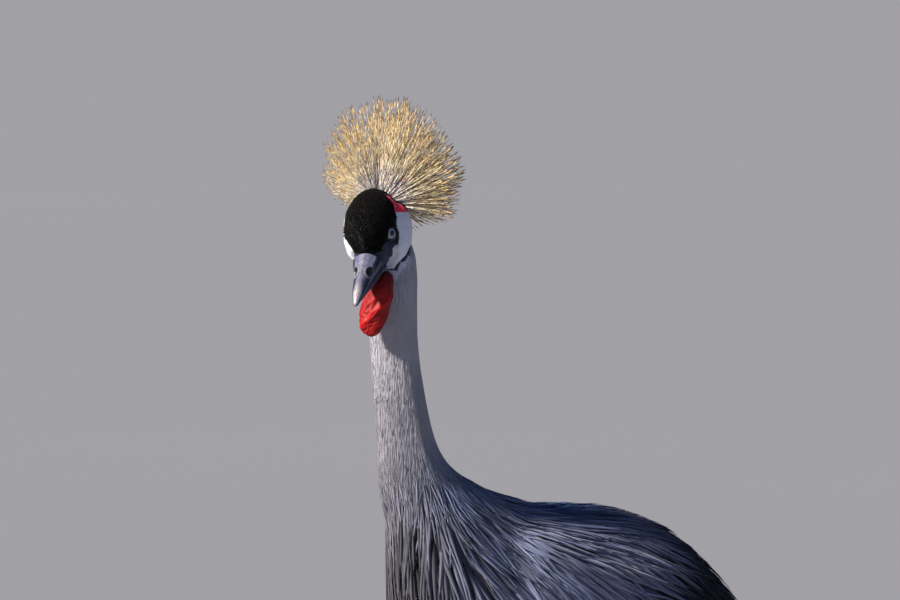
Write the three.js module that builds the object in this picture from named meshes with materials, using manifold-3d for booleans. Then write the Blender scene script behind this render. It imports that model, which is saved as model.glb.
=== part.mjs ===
// A life-size grey crowned crane, standing, with its head turned to its left and dipped.
// Millimetres, +Z up, +X the way the breast faces, +Y the bird's left, with the origin on the floor
// under the middle of the bird's box. Every node is one closed solid out to the tips of its feathers.
import * as THREE from "three";
import { mergeVertices } from "three/addons/utils/BufferGeometryUtils.js";
import Module from "manifold-3d";

const wasm = await Module();
wasm.setup();

// Driving dimensions of the whole bird
const GAP = 0.35; // between neighbouring solids
const BIG = 1600; // side of the blocks that part one solid from the next

// The head sits on the neck by the midpoint between its eyes.
const HEAD_AT = new THREE.Vector3(222, -5, 919.6);
const HEAD_TURN = 35; // degrees to the bird's left
const HEAD_DIP = 38; // degrees that the bill points below level
const HEAD_TILT = 3; // degrees, left side up

const EYE_RADIUS = 8;
const EYE_OPENING = new THREE.Vector3(2, 19.8, 3.7); // middle of the left eye's opening
const EYE_LOOKS = new THREE.Vector3(0.5, 0.8, 0.33).normalize();
const EYE_DEPTH = 6; // from the opening in to the eyeball's middle
const LID_BOWL = 9; // radius of the hollow that bares the front of each eyeball

const CAP_MIDDLE = [-8, -0.5, 13];
const CAP_HALVES = [39.5, 26, 27.5];
const CAP_HEM = 4.5; // height of the velvet cap's lower edge over the eyes' line

const CHEEK_MIDDLE = [-16, 20, -6.5];
const CHEEK_HALVES = [17, 14, 30];
const CHEEK_SLANT = 41; // degrees that the patch's long axis leans, its foot forward

const NOSTRIL_AT = [47.5, 8.2, -2.6];
const NOSTRIL_HALVES = [4.8, 3, 2.7];
const NOSTRIL_SLANT = 6; // degrees, its rear end up
const MOUTH_LINE = [0, 0, -12.2]; // a point on the flat floor of the upper half
const MOUTH_SLOPE = [0.035, 0, 1];

const CREST_FOCUS = [-34, 3, 13]; // the point that the bristles fan out from
const CREST_AXIS = new THREE.Vector3(-0.583, 0.306, 0.747).normalize();
const CREST_REACH = [106, 105, 98, 90, 80, 70, 58, 45]; // tip distance, from the axis to the rim
const CREST_SPREAD = 122; // degrees from the axis to the rim
const CREST_BACK = [-1, 0, -0.1]; // the side of the crown that the bristles grow on

const WATTLE_LEAN = 12; // degrees that the hanging wattle swings forward
const WATTLE_ROOT = { x: -8, y: -4 }; // from the head's place, level with it

const TOE_THICKNESS = { middle: 9.5, inner: 9.5, outer: 9.5, hind: 8 };
const STANCE = 54; // from the middle of the bird to the middle of each foot
const FOOT_X = -12; // where the toes meet, along the bird
const ANKLE_HEIGHT = 222;
const FEATHERING_ENDS = 328; // height at which the thigh's feathers end
const TOE_REACH = { middle: 86, inner: 66, outer: 72, hind: 36 };
const TOE_ANGLE = { middle: 2, inner: -33, outer: 36, hind: 172 }; // degrees outward
const CLAW_LENGTH = 13;
const CLAW_ROOT = 5; // how far each claw starts inside its toe

// One curve through evenly spaced values, read from 0 at the first to 1 at the last.
function smooth(values) {
  const curve = new THREE.CatmullRomCurve3(
    values.map((v, i) => new THREE.Vector3(i, v, 0)),
    false,
    "catmullrom",
    0.5,
  );
  return (t) => curve.getPoint(t).y;
}

// A closed body through stations. Each has the highest and lowest point of its outline, as [along, up],
// its half width and how far its middle lies to the side. Along is X, the side is Y and up is Z.
function loft(stations, { along = 24, around = 20, blunt = 0.08, keel = 0 } = {}) {
  const read = (pick) => smooth(stations.map(pick));
  const topX = read((s) => s.top[0]);
  const topZ = read((s) => s.top[1]);
  const lowX = read((s) => s.low[0]);
  const lowZ = read((s) => s.low[1]);
  const half = read((s) => s.half);
  const side = read((s) => s.side ?? 0);
  const geometry = new THREE.SphereGeometry(1, around, along);
  const at = geometry.attributes.position;
  for (let i = 0; i < at.count; i++) {
    const t = Math.acos(THREE.MathUtils.clamp(at.getY(i), -1, 1)) / Math.PI;
    const ring = Math.hypot(at.getX(i), at.getZ(i)) || 1;
    const across = at.getX(i) / ring;
    const up = at.getZ(i) / ring;
    const toEnd = Math.min(t, 1 - t) / blunt;
    const size = toEnd < 1 ? Math.sqrt(Math.max(0, 1 - (1 - toEnd) ** 2)) : 1;
    const rise = up * size;
    const wide = across * size * (1 - keel * up);
    at.setXYZ(
      i,
      (topX(t) + lowX(t)) / 2 + ((topX(t) - lowX(t)) / 2) * rise,
      side(t) + half(t) * wide,
      (topZ(t) + lowZ(t)) / 2 + ((topZ(t) - lowZ(t)) / 2) * rise,
    );
  }
  return closed(geometry);
}

// An ellipsoid with these half sizes, turned about the side axis and moved to its place.
function egg([x, y, z], halves, { slant = 0, detail = 16 } = {}) {
  const geometry = new THREE.SphereGeometry(1, detail, Math.round(detail * 0.7));
  geometry.rotateX(Math.PI / 2);
  geometry.scale(...halves);
  geometry.rotateY(THREE.MathUtils.degToRad(slant));
  geometry.translate(x, y, z);
  return closed(geometry);
}

// The geometry with shared corners merged, so that it is one closed surface.
function closed(geometry) {
  geometry.deleteAttribute("normal");
  geometry.deleteAttribute("uv");
  return mergeVertices(geometry, 1e-3);
}

// The geometry swollen by a distance, to cut a neighbour clear of it.
function swollen(geometry, by = GAP) {
  const grown = geometry.clone();
  grown.computeVertexNormals();
  const at = grown.attributes.position;
  const normal = grown.attributes.normal;
  const { solid: kept, flipped } = solidOf(geometry);
  const outward = flipped ? -by : by;
  for (let i = 0; i < at.count; i++) {
    at.setXYZ(
      i,
      at.getX(i) + normal.getX(i) * outward,
      at.getY(i) + normal.getY(i) * outward,
      at.getZ(i) + normal.getZ(i) * outward,
    );
  }
  grown.deleteAttribute("normal");
  return solidOf(grown).solid.add(kept);
}

// A geometry as a solid, with its faces turned outwards if they point in.
function solidOf(geometry) {
  const merged = closed(geometry.clone());
  const build = (triVerts) =>
    new wasm.Manifold(
      new wasm.Mesh({ numProp: 3, vertProperties: merged.attributes.position.array, triVerts }),
    );
  const corners = new Uint32Array(merged.index.array);
  const solid = build(corners);
  if (solid.volume() > 0) return { solid, flipped: false };
  return { solid: build(corners.map((_, i) => corners[i - (i % 3) + (2 - (i % 3))])), flipped: true };
}

const solid = (geometry) => solidOf(geometry).solid;

// The largest body of a solid, without the crumbs that a cut can leave.
function largest(cut) {
  return cut.decompose().reduce((best, next) => (next.volume() > best.volume() ? next : best));
}

// Everything on the side of a plane that its normal points to.
function beyond([x, y, z], [nx, ny, nz]) {
  const block = new THREE.BoxGeometry(BIG, BIG, BIG);
  block.translate(0, 0, BIG / 2);
  const way = new THREE.Vector3(nx, ny, nz).normalize();
  const turn = new THREE.Quaternion().setFromUnitVectors(new THREE.Vector3(0, 0, 1), way);
  block.applyQuaternion(turn);
  block.translate(x, y, z);
  return solid(block);
}

// The slice of a body between two planes, each a place and the way forward through the body.
function between(body, from, to) {
  const shift = (plane, by) => plane.at.map((v, i) => v + plane.way[i] * by);
  let slice = body;
  if (from) slice = slice.intersect(beyond(shift(from, GAP / 2), from.way));
  if (to) slice = slice.intersect(beyond(shift(to, -GAP / 2), to.way.map((v) => -v)));
  return largest(slice);
}

const crane = new THREE.Group();

// Adds a solid to the crane as a named mesh in its own material.
function add(name, piece, { color, roughness = 0.8 }) {
  const made = largest(piece).getMesh();
  const places = new Float32Array(made.numVert * 3);
  for (let i = 0; i < made.numVert; i++) {
    places.set(made.vertProperties.subarray(i * made.numProp, i * made.numProp + 3), i * 3);
  }
  const geometry = new THREE.BufferGeometry()
    .setAttribute("position", new THREE.BufferAttribute(places, 3))
    .setIndex(new THREE.BufferAttribute(made.triVerts, 1));
  geometry.computeVertexNormals();
  const material = new THREE.MeshStandardMaterial({ color, roughness, metalness: 0 });
  const mesh = new THREE.Mesh(geometry, material);
  mesh.name = name;
  crane.add(mesh);
}

const LOOKS = {
  neck: { color: 0xb4b6c2 },
  back: { color: 0x5b6272 },
  white: { color: 0xe9e6dc },
  straw: { color: 0xd9b877 },
  chestnut: { color: 0x5a2f22 },
  black: { color: 0x17171a },
  velvet: { color: 0x0b0b0d, roughness: 0.95 },
  cheek: { color: 0xe8e9ee, roughness: 0.6 },
  wattle: { color: 0xb3121b, roughness: 0.45 },
  bill: { color: 0x6f7386, roughness: 0.4 },
  eye: { color: 0xaebac4, roughness: 0.1 },
  leg: { color: 0x2e2e33, roughness: 0.6 },
  claw: { color: 0x1c1b1d, roughness: 0.35 },
};

// The way from the head's own frame, with X along the bill, Y to its left and Z out of its crown.
const headFrame = new THREE.Matrix4()
  .makeTranslation(HEAD_AT.x, HEAD_AT.y, HEAD_AT.z)
  .multiply(new THREE.Matrix4().makeRotationZ(THREE.MathUtils.degToRad(HEAD_TURN)))
  .multiply(new THREE.Matrix4().makeRotationY(THREE.MathUtils.degToRad(HEAD_DIP)))
  .multiply(new THREE.Matrix4().makeRotationX(THREE.MathUtils.degToRad(HEAD_TILT)));
const onHead = (geometry) => geometry.applyMatrix4(headFrame);
const mirrored = ([x, y, z], sign) => [x, y * sign, z];
const SIDES = { left: 1, right: -1 };

// Trunk and neck, one body from the vent to the nape
const bodyStations = [
  { top: [-236, 492], low: [-200, 468], half: 22 },
  { top: [-205, 532], low: [-150, 458], half: 46 },
  { top: [-160, 582], low: [-75, 446], half: 66 },
  { top: [-110, 618], low: [8, 438], half: 80 },
  { top: [-50, 641], low: [90, 450], half: 84 },
  { top: [10, 653], low: [162, 492], half: 78 },
  { top: [60, 668], low: [197, 548], half: 63 },
  { top: [102, 683], low: [202, 612], half: 50 },
  { top: [138, 704], low: [209, 672], half: 35, side: -3 },
  { top: [155, 742], low: [211, 726], half: 27, side: -6 },
  { top: [166, 814], low: [214, 810], half: 24, side: -12 },
  { top: [166, 888], low: [215, 882], half: 26, side: -15 },
  { top: [172, 930], low: [217, 916], half: 23, side: -17 },
];
const bodyForm = loft(bodyStations, { along: 32, around: 16, blunt: 0.05 });
const body = solid(bodyForm);
const bodyRoom = swollen(bodyForm);

// The planes that part the neck's three lengths from the trunk
const NECK_PLANES = {
  root: { at: [161, 0, 667], way: [0.44, 0, 0.898] },
  lower: { at: [187, 0, 752], way: [0.1, 0, 0.995] },
  upper: { at: [191, 0, 835], way: [0.03, 0, 0.9995] },
};

// Head: skull and face, the velvet cap over the forehead, and a bare cheek on each side
const headStations = [
  { top: [-43, 8], low: [-41, -8], half: 9 },
  { top: [-37, 19], low: [-36, -19], half: 19 },
  { top: [-26, 25], low: [-26, -28], half: 24.5 },
  { top: [-12, 27], low: [-13, -32], half: 23 },
  { top: [2, 25], low: [2, -31], half: 19.6 },
  { top: [14, 20], low: [14, -27], half: 16.6 },
  { top: [26, 11], low: [25, -22.5], half: 14.4 },
  { top: [36, 5.4], low: [34, -19], half: 11.5 },
];
const headForm = onHead(loft(headStations, { along: 12, around: 12, blunt: 0.12 }));
const capForm = onHead(egg(CAP_MIDDLE, CAP_HALVES, { detail: 12 }));
const capHem = headSide([0, 0, CAP_HEM], [0, 0, 1]);

// Everything on one side of a plane that is given in the head's own frame.
function headSide(at, way) {
  return beyond(
    new THREE.Vector3(...at).applyMatrix4(headFrame).toArray(),
    new THREE.Vector3(...way).transformDirection(headFrame).toArray(),
  );
}

// Eyes, looking out to the side and a little forward
const eyes = Object.fromEntries(
  Object.entries(SIDES).map(([side, sign]) => {
    const middle = EYE_OPENING.clone().addScaledVector(EYE_LOOKS, -EYE_DEPTH).toArray();
    const halves = [EYE_RADIUS, EYE_RADIUS, EYE_RADIUS];
    return [side, onHead(egg(mirrored(middle, sign), halves, { detail: 10 }))];
  }),
);

const cheeks = Object.fromEntries(
  Object.entries(SIDES).map(([side, sign]) => [
    side,
    onHead(egg(mirrored(CHEEK_MIDDLE, sign), CHEEK_HALVES, { slant: -CHEEK_SLANT, detail: 12 })),
  ]),
);

// Bill: the upper half has a rounded ridge and a nostril on each side, the lower half fits under it
const UPPER_BILL = [
  { top: [24, 9], low: [20, -13.2], half: 15.4 },
  { top: [34, 6], low: [32, -13.4], half: 13.4 },
  { top: [44, 3.6], low: [43, -12.8], half: 10.4 },
  { top: [54, 1.8], low: [54, -11.9], half: 8.2 },
  { top: [64, 0.2], low: [64, -11.1], half: 7 },
  { top: [74, -2], low: [74, -10.6], half: 5.4 },
  { top: [82, -4.8], low: [82, -10.4], half: 3.6 },
  { top: [88.5, -8], low: [88, -10.2], half: 1.6 },
];
const LOWER_BILL = [
  { top: [16, -11], low: [16, -25.5], half: 13.6 },
  { top: [28, -11], low: [28, -24.4], half: 12.6 },
  { top: [42, -10.5], low: [42, -21.8], half: 9.8 },
  { top: [56, -9.5], low: [56, -18.4], half: 7.2 },
  { top: [70, -9], low: [70, -15], half: 4.6 },
  { top: [82, -9], low: [82, -12.2], half: 2 },
];
const upperBillForm = onHead(loft(UPPER_BILL, { along: 13, around: 12, blunt: 0.1, keel: 0.28 }));
const lowerBillForm = onHead(loft(LOWER_BILL, { along: 9, around: 10, blunt: 0.1 }));

// Crest: a dome of bristles round its own axis, out to the tips
function crestForm() {
  const reach = smooth(CREST_REACH);
  const steps = 8;
  const rim = THREE.MathUtils.degToRad(CREST_SPREAD);
  const profile = [new THREE.Vector2(0, 0)];
  for (let i = 0; i <= steps; i++) {
    const t = 1 - i / steps;
    const far = reach(t);
    profile.push(new THREE.Vector2(i === steps ? 0 : far * Math.sin(t * rim), far * Math.cos(t * rim)));
  }
  const geometry = new THREE.LatheGeometry(profile, 18);
  const turn = new THREE.Quaternion().setFromUnitVectors(new THREE.Vector3(0, 1, 0), CREST_AXIS);
  geometry.applyQuaternion(turn);
  geometry.translate(...CREST_FOCUS);
  return onHead(closed(geometry));
}

// Wattle: a soft red sac that hangs from the throat in front of the neck
function wattleForm() {
  const stations = [
    { top: [7, -31], low: [-9, -31], half: 5, side: 12 },
    { top: [10, -40], low: [-9, -40], half: 8, side: 11 },
    { top: [12, -50], low: [-9.5, -50], half: 11.4, side: 7.8 },
    { top: [12, -60], low: [-10, -60], half: 13.6, side: 4.6 },
    { top: [10.5, -74], low: [-9, -74], half: 14.1, side: 1.6 },
    { top: [7, -87], low: [-6, -87], half: 10.4, side: -0.1 },
    { top: [3, -95.5], low: [-3, -95.5], half: 4.5, side: 0 },
  ];
  const form = loft(stations, { along: 12, around: 12, blunt: 0.1 });
  form.rotateY(THREE.MathUtils.degToRad(-WATTLE_LEAN));
  form.rotateZ(THREE.MathUtils.degToRad(HEAD_TURN));
  form.translate(HEAD_AT.x + WATTLE_ROOT.x, HEAD_AT.y + WATTLE_ROOT.y, HEAD_AT.z);
  return form;
}

const skull = solid(headForm);
const headRoom = swollen(headForm);
const capRoom = swollen(capForm).intersect(capHem);
const upperBillRoom = swollen(upperBillForm);
const lowerBillRoom = swollen(lowerBillForm);
const billRoom = upperBillRoom.add(lowerBillRoom);
const lidBowls = Object.values(SIDES).map((sign) => {
  const middle = EYE_OPENING.clone().addScaledVector(EYE_LOOKS, LID_BOWL - 1).toArray();
  return solid(onHead(egg(mirrored(middle, sign), [LID_BOWL, LID_BOWL, LID_BOWL], { detail: 8 })));
});
const eyeRoom = swollen(eyes.left).add(swollen(eyes.right)).add(lidBowls[0]).add(lidBowls[1]);
const cheekRoom = swollen(cheeks.left).add(swollen(cheeks.right));
const sunken = eyeRoom.add(cheekRoom).add(billRoom);
const capTaken = capRoom.subtract(headRoom);

add("head", skull.subtract(sunken), LOOKS.back);
add("cap", solid(capForm).intersect(capHem).subtract(headRoom).subtract(sunken), LOOKS.velvet);
for (const side of Object.keys(SIDES)) {
  add(`cheek_${side}`, solid(cheeks[side]).subtract(eyeRoom).subtract(billRoom), LOOKS.cheek);
  add(`eye_${side}`, solid(eyes[side]), LOOKS.eye);
}
const nostrils = Object.values(SIDES).map((sign) =>
  solid(onHead(egg(mirrored(NOSTRIL_AT, sign), NOSTRIL_HALVES, { slant: NOSTRIL_SLANT, detail: 8 }))),
);
const billFloor = headSide(MOUTH_LINE, MOUTH_SLOPE);
const upperBill = solid(upperBillForm).intersect(billFloor);
add("bill_upper", upperBill.subtract(nostrils[0]).subtract(nostrils[1]), LOOKS.bill);
add("bill_lower", solid(lowerBillForm).subtract(upperBillRoom), LOOKS.bill);

const crestDome = solid(crestForm()).intersect(headSide(CREST_FOCUS, CREST_BACK));
const crest = crestDome.subtract(headRoom).subtract(capTaken).subtract(cheekRoom);
add("crest", crest.subtract(bodyRoom), LOOKS.straw);
const wattle = solid(wattleForm()).subtract(headRoom).subtract(bodyRoom).subtract(cheekRoom);
add("wattle", wattle.subtract(lowerBillRoom), LOOKS.wattle);

// Neck in three lengths, then the trunk
const faceRoom = headRoom.add(cheekRoom);
const neck = body.subtract(faceRoom);
add("neck_upper", between(neck, NECK_PLANES.upper, null), LOOKS.neck);
add("neck_middle", between(neck, NECK_PLANES.lower, NECK_PLANES.upper), LOOKS.neck);
add("neck_lower", between(neck, NECK_PLANES.root, NECK_PLANES.lower), LOOKS.neck);

// Legs: one form from the thigh to the toes, parted where the feathers end and at the ankle
function legForm(sign) {
  const station = (x, z, depth, half, side) => ({
    top: [x + depth, z],
    low: [x - depth, z],
    half,
    side: side * sign,
  });
  const stations = [
    station(4, 530, 50, 30, 38),
    station(-2, 480, 42, 26, 43),
    station(-8, 435, 30, 20, 47),
    station(-13, 392, 20, 15, 49.5),
    station(-18, 352, 12.5, 11, 51),
    station(-21, FEATHERING_ENDS, 8.2, 7.6, 51.6),
    station(-26, 285, 6.6, 6, 52.4),
    station(-31, 248, 6.8, 6.2, 53),
    station(-33, ANKLE_HEIGHT, 11, 9.4, 53.4),
    station(-31, 198, 7.2, 6.6, 53.6),
    station(-26, 150, 5.6, 5.1, 53.8),
    station(-21, 100, 5.3, 4.9, STANCE),
    station(-16, 52, 5.6, 5.2, STANCE),
    station(FOOT_X - 1, 18, 8.6, 8, STANCE),
    station(FOOT_X, 8, 8, 8, STANCE),
  ];
  return loft(stations, { along: 28, around: 7, blunt: 0.02 });
}

const kneeCut = { at: [0, 0, FEATHERING_ENDS], way: [0, 0, -1] };
const ankleCut = { at: [0, 0, ANKLE_HEIGHT - 14], way: [0, 0, -1] };
const footCut = { at: [0, 0, 24], way: [0, 0, -1] };
const legRoom = swollen(legForm(1)).add(swollen(legForm(-1)));
for (const [side, sign] of Object.entries(SIDES)) {
  const leg = solid(legForm(sign)).subtract(bodyRoom);
  add(`thigh_${side}`, between(leg, null, kneeCut), LOOKS.back);
  add(`shin_${side}`, between(leg, kneeCut, ankleCut), LOOKS.leg);
  add(`shank_${side}`, between(leg, ankleCut, footCut), LOOKS.leg);
}

// Feet: a knuckle with three toes forward and one behind, each flat underneath, and their claws
const floor = beyond([0, 0, 0], [0, 0, 1]);
function toeForm(reach, thick) {
  const stations = [
    { top: [-4, thick * 1.1], low: [-4, -1.5], half: thick * 0.52 },
    { top: [reach * 0.28, thick], low: [reach * 0.28, -1], half: thick * 0.44 },
    { top: [reach * 0.36, thick * 1.02], low: [reach * 0.36, -1.5], half: thick * 0.52 },
    { top: [reach * 0.6, thick * 0.84], low: [reach * 0.6, -1], half: thick * 0.4 },
    { top: [reach * 0.68, thick * 0.88], low: [reach * 0.68, -1.5], half: thick * 0.46 },
    { top: [reach * 0.88, thick * 0.74], low: [reach * 0.88, -1], half: thick * 0.38 },
    { top: [reach, thick * 0.62], low: [reach, 0.4], half: thick * 0.26 },
  ];
  return loft(stations, { along: 6, around: 6, blunt: 0.08 });
}

function clawForm(reach, thick) {
  const start = reach - CLAW_ROOT;
  const out = (share) => start + CLAW_LENGTH * share;
  const stations = [
    { top: [start, thick * 0.62], low: [start, 1.6], half: thick * 0.24 },
    { top: [out(0.45), thick * 0.66], low: [out(0.4), 2], half: thick * 0.2 },
    { top: [out(0.85), thick * 0.42], low: [out(0.75), 1.2], half: thick * 0.13 },
    { top: [out(1.15), thick * 0.12], low: [out(1.1), 0.6], half: thick * 0.04 },
  ];
  return loft(stations, { along: 5, around: 5, blunt: 0.12 });
}

for (const [side, sign] of Object.entries(SIDES)) {
  const place = (form, angle) => {
    form.rotateZ(THREE.MathUtils.degToRad(angle * sign));
    form.translate(FOOT_X, STANCE * sign, 0);
    return form;
  };
  const knuckleForm = place(egg([0, 0, 10], [13, 11.5, 13.5], { detail: 8 }), 0);
  const knuckle = solid(knuckleForm).intersect(floor).subtract(beyond([0, 0, 24 - GAP / 2], [0, 0, 1]));
  add(`foot_${side}`, knuckle, LOOKS.leg);
  const knuckleRoom = swollen(knuckleForm);
  let taken = knuckleRoom;
  for (const [toe, reach] of Object.entries(TOE_REACH)) {
    const thick = TOE_THICKNESS[toe];
    const form = place(toeForm(reach, thick), TOE_ANGLE[toe]);
    const claw = place(clawForm(reach, thick), TOE_ANGLE[toe]);
    const toeSolid = solid(form).intersect(floor).subtract(taken);
    add(`toe_${side}_${toe}`, toeSolid.subtract(swollen(claw)), LOOKS.leg);
    add(`claw_${side}_${toe}`, solid(claw).intersect(floor), LOOKS.claw);
    taken = taken.add(swollen(form));
  }
}

// Tail: short and straight, shut like a fan under the wings
const tailForm = loft(
  [
    { top: [-212, 508], low: [-206, 482], half: 20 },
    { top: [-250, 478], low: [-242, 454], half: 29 },
    { top: [-284, 446], low: [-274, 426], half: 36 },
    { top: [-312, 412], low: [-304, 398], half: 40 },
    { top: [-336, 380], low: [-330, 371], half: 34 },
  ],
  { along: 8, around: 12, blunt: 0.1 },
);
const tailRoom = swollen(tailForm);
add("trunk", between(body.subtract(legRoom), null, NECK_PLANES.root), LOOKS.back);
add("tail", solid(tailForm).subtract(bodyRoom), LOOKS.black);

// Folded wings: one saddle over the back, parted along the spine, with the drooping inner flight
// feathers behind
const foldedForm = loft(
  [
    { top: [-330, 420], low: [-324, 404], half: 11 },
    { top: [-292, 462], low: [-280, 402], half: 34 },
    { top: [-240, 512], low: [-226, 416], half: 62 },
    { top: [-188, 574], low: [-170, 438], half: 87 },
    { top: [-130, 627], low: [-112, 456], half: 98 },
    { top: [-62, 652], low: [-50, 466], half: 102 },
    { top: [10, 658], low: [18, 478], half: 98 },
    { top: [74, 659], low: [84, 510], half: 86 },
    { top: [116, 640], low: [126, 566], half: 50 },
  ],
  { along: 17, around: 16, blunt: 0.06 },
);
const folded = solid(foldedForm).subtract(bodyRoom).subtract(tailRoom).subtract(legRoom);
const plumeCut = { at: [-140, 0, 540], way: [0.77, 0, -0.64] };
for (const [side, sign] of Object.entries(SIDES)) {
  const wing = largest(folded.intersect(beyond([0, (GAP / 2) * sign, 0], [0, sign, 0])));
  add(`wing_${side}`, between(wing, plumeCut, null), LOOKS.white);
  add(`tertials_${side}`, between(wing, null, plumeCut), LOOKS.chestnut);
}

// The origin goes to the floor under the middle of the bird's box.
const box = new THREE.Box3().setFromObject(crane);
crane.position.set(-(box.min.x + box.max.x) / 2, -(box.min.y + box.max.y) / 2, -box.min.z);

export default crane;
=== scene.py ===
"""The finish of a standing, life-size grey crowned crane.

One skin stands for all the nodes of flesh. Over it lie mesh tufts and vanes that follow the lie of the
plumage, and the bill, eyes, wattle, claws, tail and crest bristles are pieces of their own. All sizes are
metres in the frame's own axes: +Z up, +X the way the breast faces, +Y the bird's left. Names that end in
_mm are millimetres.
"""

import logging
import math
from dataclasses import dataclass, field, replace
from enum import Enum
from typing import Callable, Sequence

import bpy
import numpy as np
from mathutils import Matrix, Vector, noise
from mathutils.bvhtree import BVHTree


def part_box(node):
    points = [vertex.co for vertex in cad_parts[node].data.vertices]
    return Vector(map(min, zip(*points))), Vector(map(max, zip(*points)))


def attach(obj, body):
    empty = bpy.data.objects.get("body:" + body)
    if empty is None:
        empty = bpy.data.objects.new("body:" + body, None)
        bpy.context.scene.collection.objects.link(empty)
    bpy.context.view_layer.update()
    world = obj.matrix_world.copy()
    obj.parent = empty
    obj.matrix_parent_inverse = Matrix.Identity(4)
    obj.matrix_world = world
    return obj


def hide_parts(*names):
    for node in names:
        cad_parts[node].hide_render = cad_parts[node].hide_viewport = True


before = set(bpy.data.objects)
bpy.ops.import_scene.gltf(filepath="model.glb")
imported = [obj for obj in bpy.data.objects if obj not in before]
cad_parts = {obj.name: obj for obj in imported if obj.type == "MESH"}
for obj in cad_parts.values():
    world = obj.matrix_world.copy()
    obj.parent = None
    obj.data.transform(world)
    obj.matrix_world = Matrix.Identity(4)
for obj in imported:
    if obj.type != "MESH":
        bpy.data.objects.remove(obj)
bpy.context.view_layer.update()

log = logging.getLogger("crane")

Socket = bpy.types.NodeSocket
Pair = tuple[float, float]
Triple = tuple[float, float, float]

MM = 0.001
BODY = "root"
BAKE_MAP = "OFBake"
PATCH = 0.003  # width of one feather's patch on the bake map
KERATIN_IOR = 1.54  # of horn, feather and hard skin
NOISE_SPAN = (0.3, 0.7)  # where most of a noise's values lie
NARROW_SPAN = (0.35, 0.65)  # the same for a noise with few finer layers
VELVET_BLACK = "#040405"
CHEEK_RED = "#ee1450"
SIDES = {"left": 1.0, "right": -1.0}
TOES = ("middle", "inner", "outer", "hind")

HEAD_NODES = ("head", "cap", "cheek_left", "cheek_right")
NECK_NODES = ("neck_upper", "neck_middle", "neck_lower")
WING_NODES = ("wing_left", "wing_right")
TERTIAL_NODES = ("tertials_left", "tertials_right")
THIGH_NODES = ("thigh_left", "thigh_right")
LEG_NODES = tuple(
    f"{part}_{side}" for side in SIDES for part in ("shin", "shank", "foot")
) + tuple(f"toe_{side}_{toe}" for side in SIDES for toe in TOES)
FLESH = HEAD_NODES + NECK_NODES + ("trunk",) + WING_NODES + TERTIAL_NODES + THIGH_NODES + LEG_NODES


def linear(hex_code: str) -> Triple:
    """Turns an sRGB hex colour into linear red, green and blue.

    Args:
        hex_code: The colour, as "#rrggbb".

    Returns:
        The three linear parts, from 0 to 1.
    """
    parts = (int(hex_code[i : i + 2], 16) / 255 for i in (1, 3, 5))
    return tuple(c / 12.92 if c <= 0.04045 else ((c + 0.055) / 1.055) ** 2.4 for c in parts)


def ramp(value: np.ndarray, low: float, high: float) -> np.ndarray:
    """Rises smoothly from 0 at low to 1 at high.

    Args:
        value: The numbers to read.
        low: Where the rise starts.
        high: Where it ends.

    Returns:
        Numbers from 0 to 1, as many as in value.
    """
    t = np.clip((value - low) / (high - low), 0.0, 1.0)
    return t * t * (3.0 - 2.0 * t)


def within(values: np.ndarray, span: Pair) -> np.ndarray:
    """True where a value lies between the span's two ends."""
    return (values > span[0]) & (values < span[1])


def unit(vectors: np.ndarray) -> np.ndarray:
    """Scales vectors to length 1 along their last axis."""
    return vectors / np.maximum(np.linalg.norm(vectors, axis=-1, keepdims=True), 1e-12)


def grain(points: np.ndarray, pitch_mm: float, seed: float = 0.0) -> np.ndarray:
    """Smooth random bumps in space.

    Args:
        points: Places in metres, one in each row.
        pitch_mm: The size of one bump.
        seed: A shift that gives another pattern.

    Returns:
        One number from about -1 to 1 for each place.
    """
    shift = Vector((seed, seed * 1.7, -seed))
    return np.array([noise.noise(Vector(p) / (pitch_mm * MM) + shift) for p in points.tolist()])


def blend(under: np.ndarray | str, code: str, share: np.ndarray) -> np.ndarray:
    """Mixes one colour over others.

    Args:
        under: Linear colours, one in each row, or one colour's code.
        code: The colour that goes over them.
        share: How much of it shows in each row, from 0 to 1.

    Returns:
        The mixed linear colours.
    """
    under = np.array(linear(under)) if isinstance(under, str) else under
    return under + (np.array(linear(code)) - under) * share[:, None]


def add_node(tree: bpy.types.NodeTree, kind: str, settings: dict | None = None) -> bpy.types.Node:
    """Adds a shader node with its settings and links.

    Args:
        tree: The material's or world's node tree.
        kind: Blender's name for the type of node.
        settings: By the name of a property, or the name or number of an input, its value or the output
            socket that feeds it.

    Returns:
        The new node.
    """
    node = tree.nodes.new(kind)
    for key, value in (settings or {}).items():
        if isinstance(value, Socket):
            tree.links.new(value, node.inputs[key])
        elif isinstance(key, str) and hasattr(node, key):
            setattr(node, key, value)
        else:
            node.inputs[key].default_value = value
    return node


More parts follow.
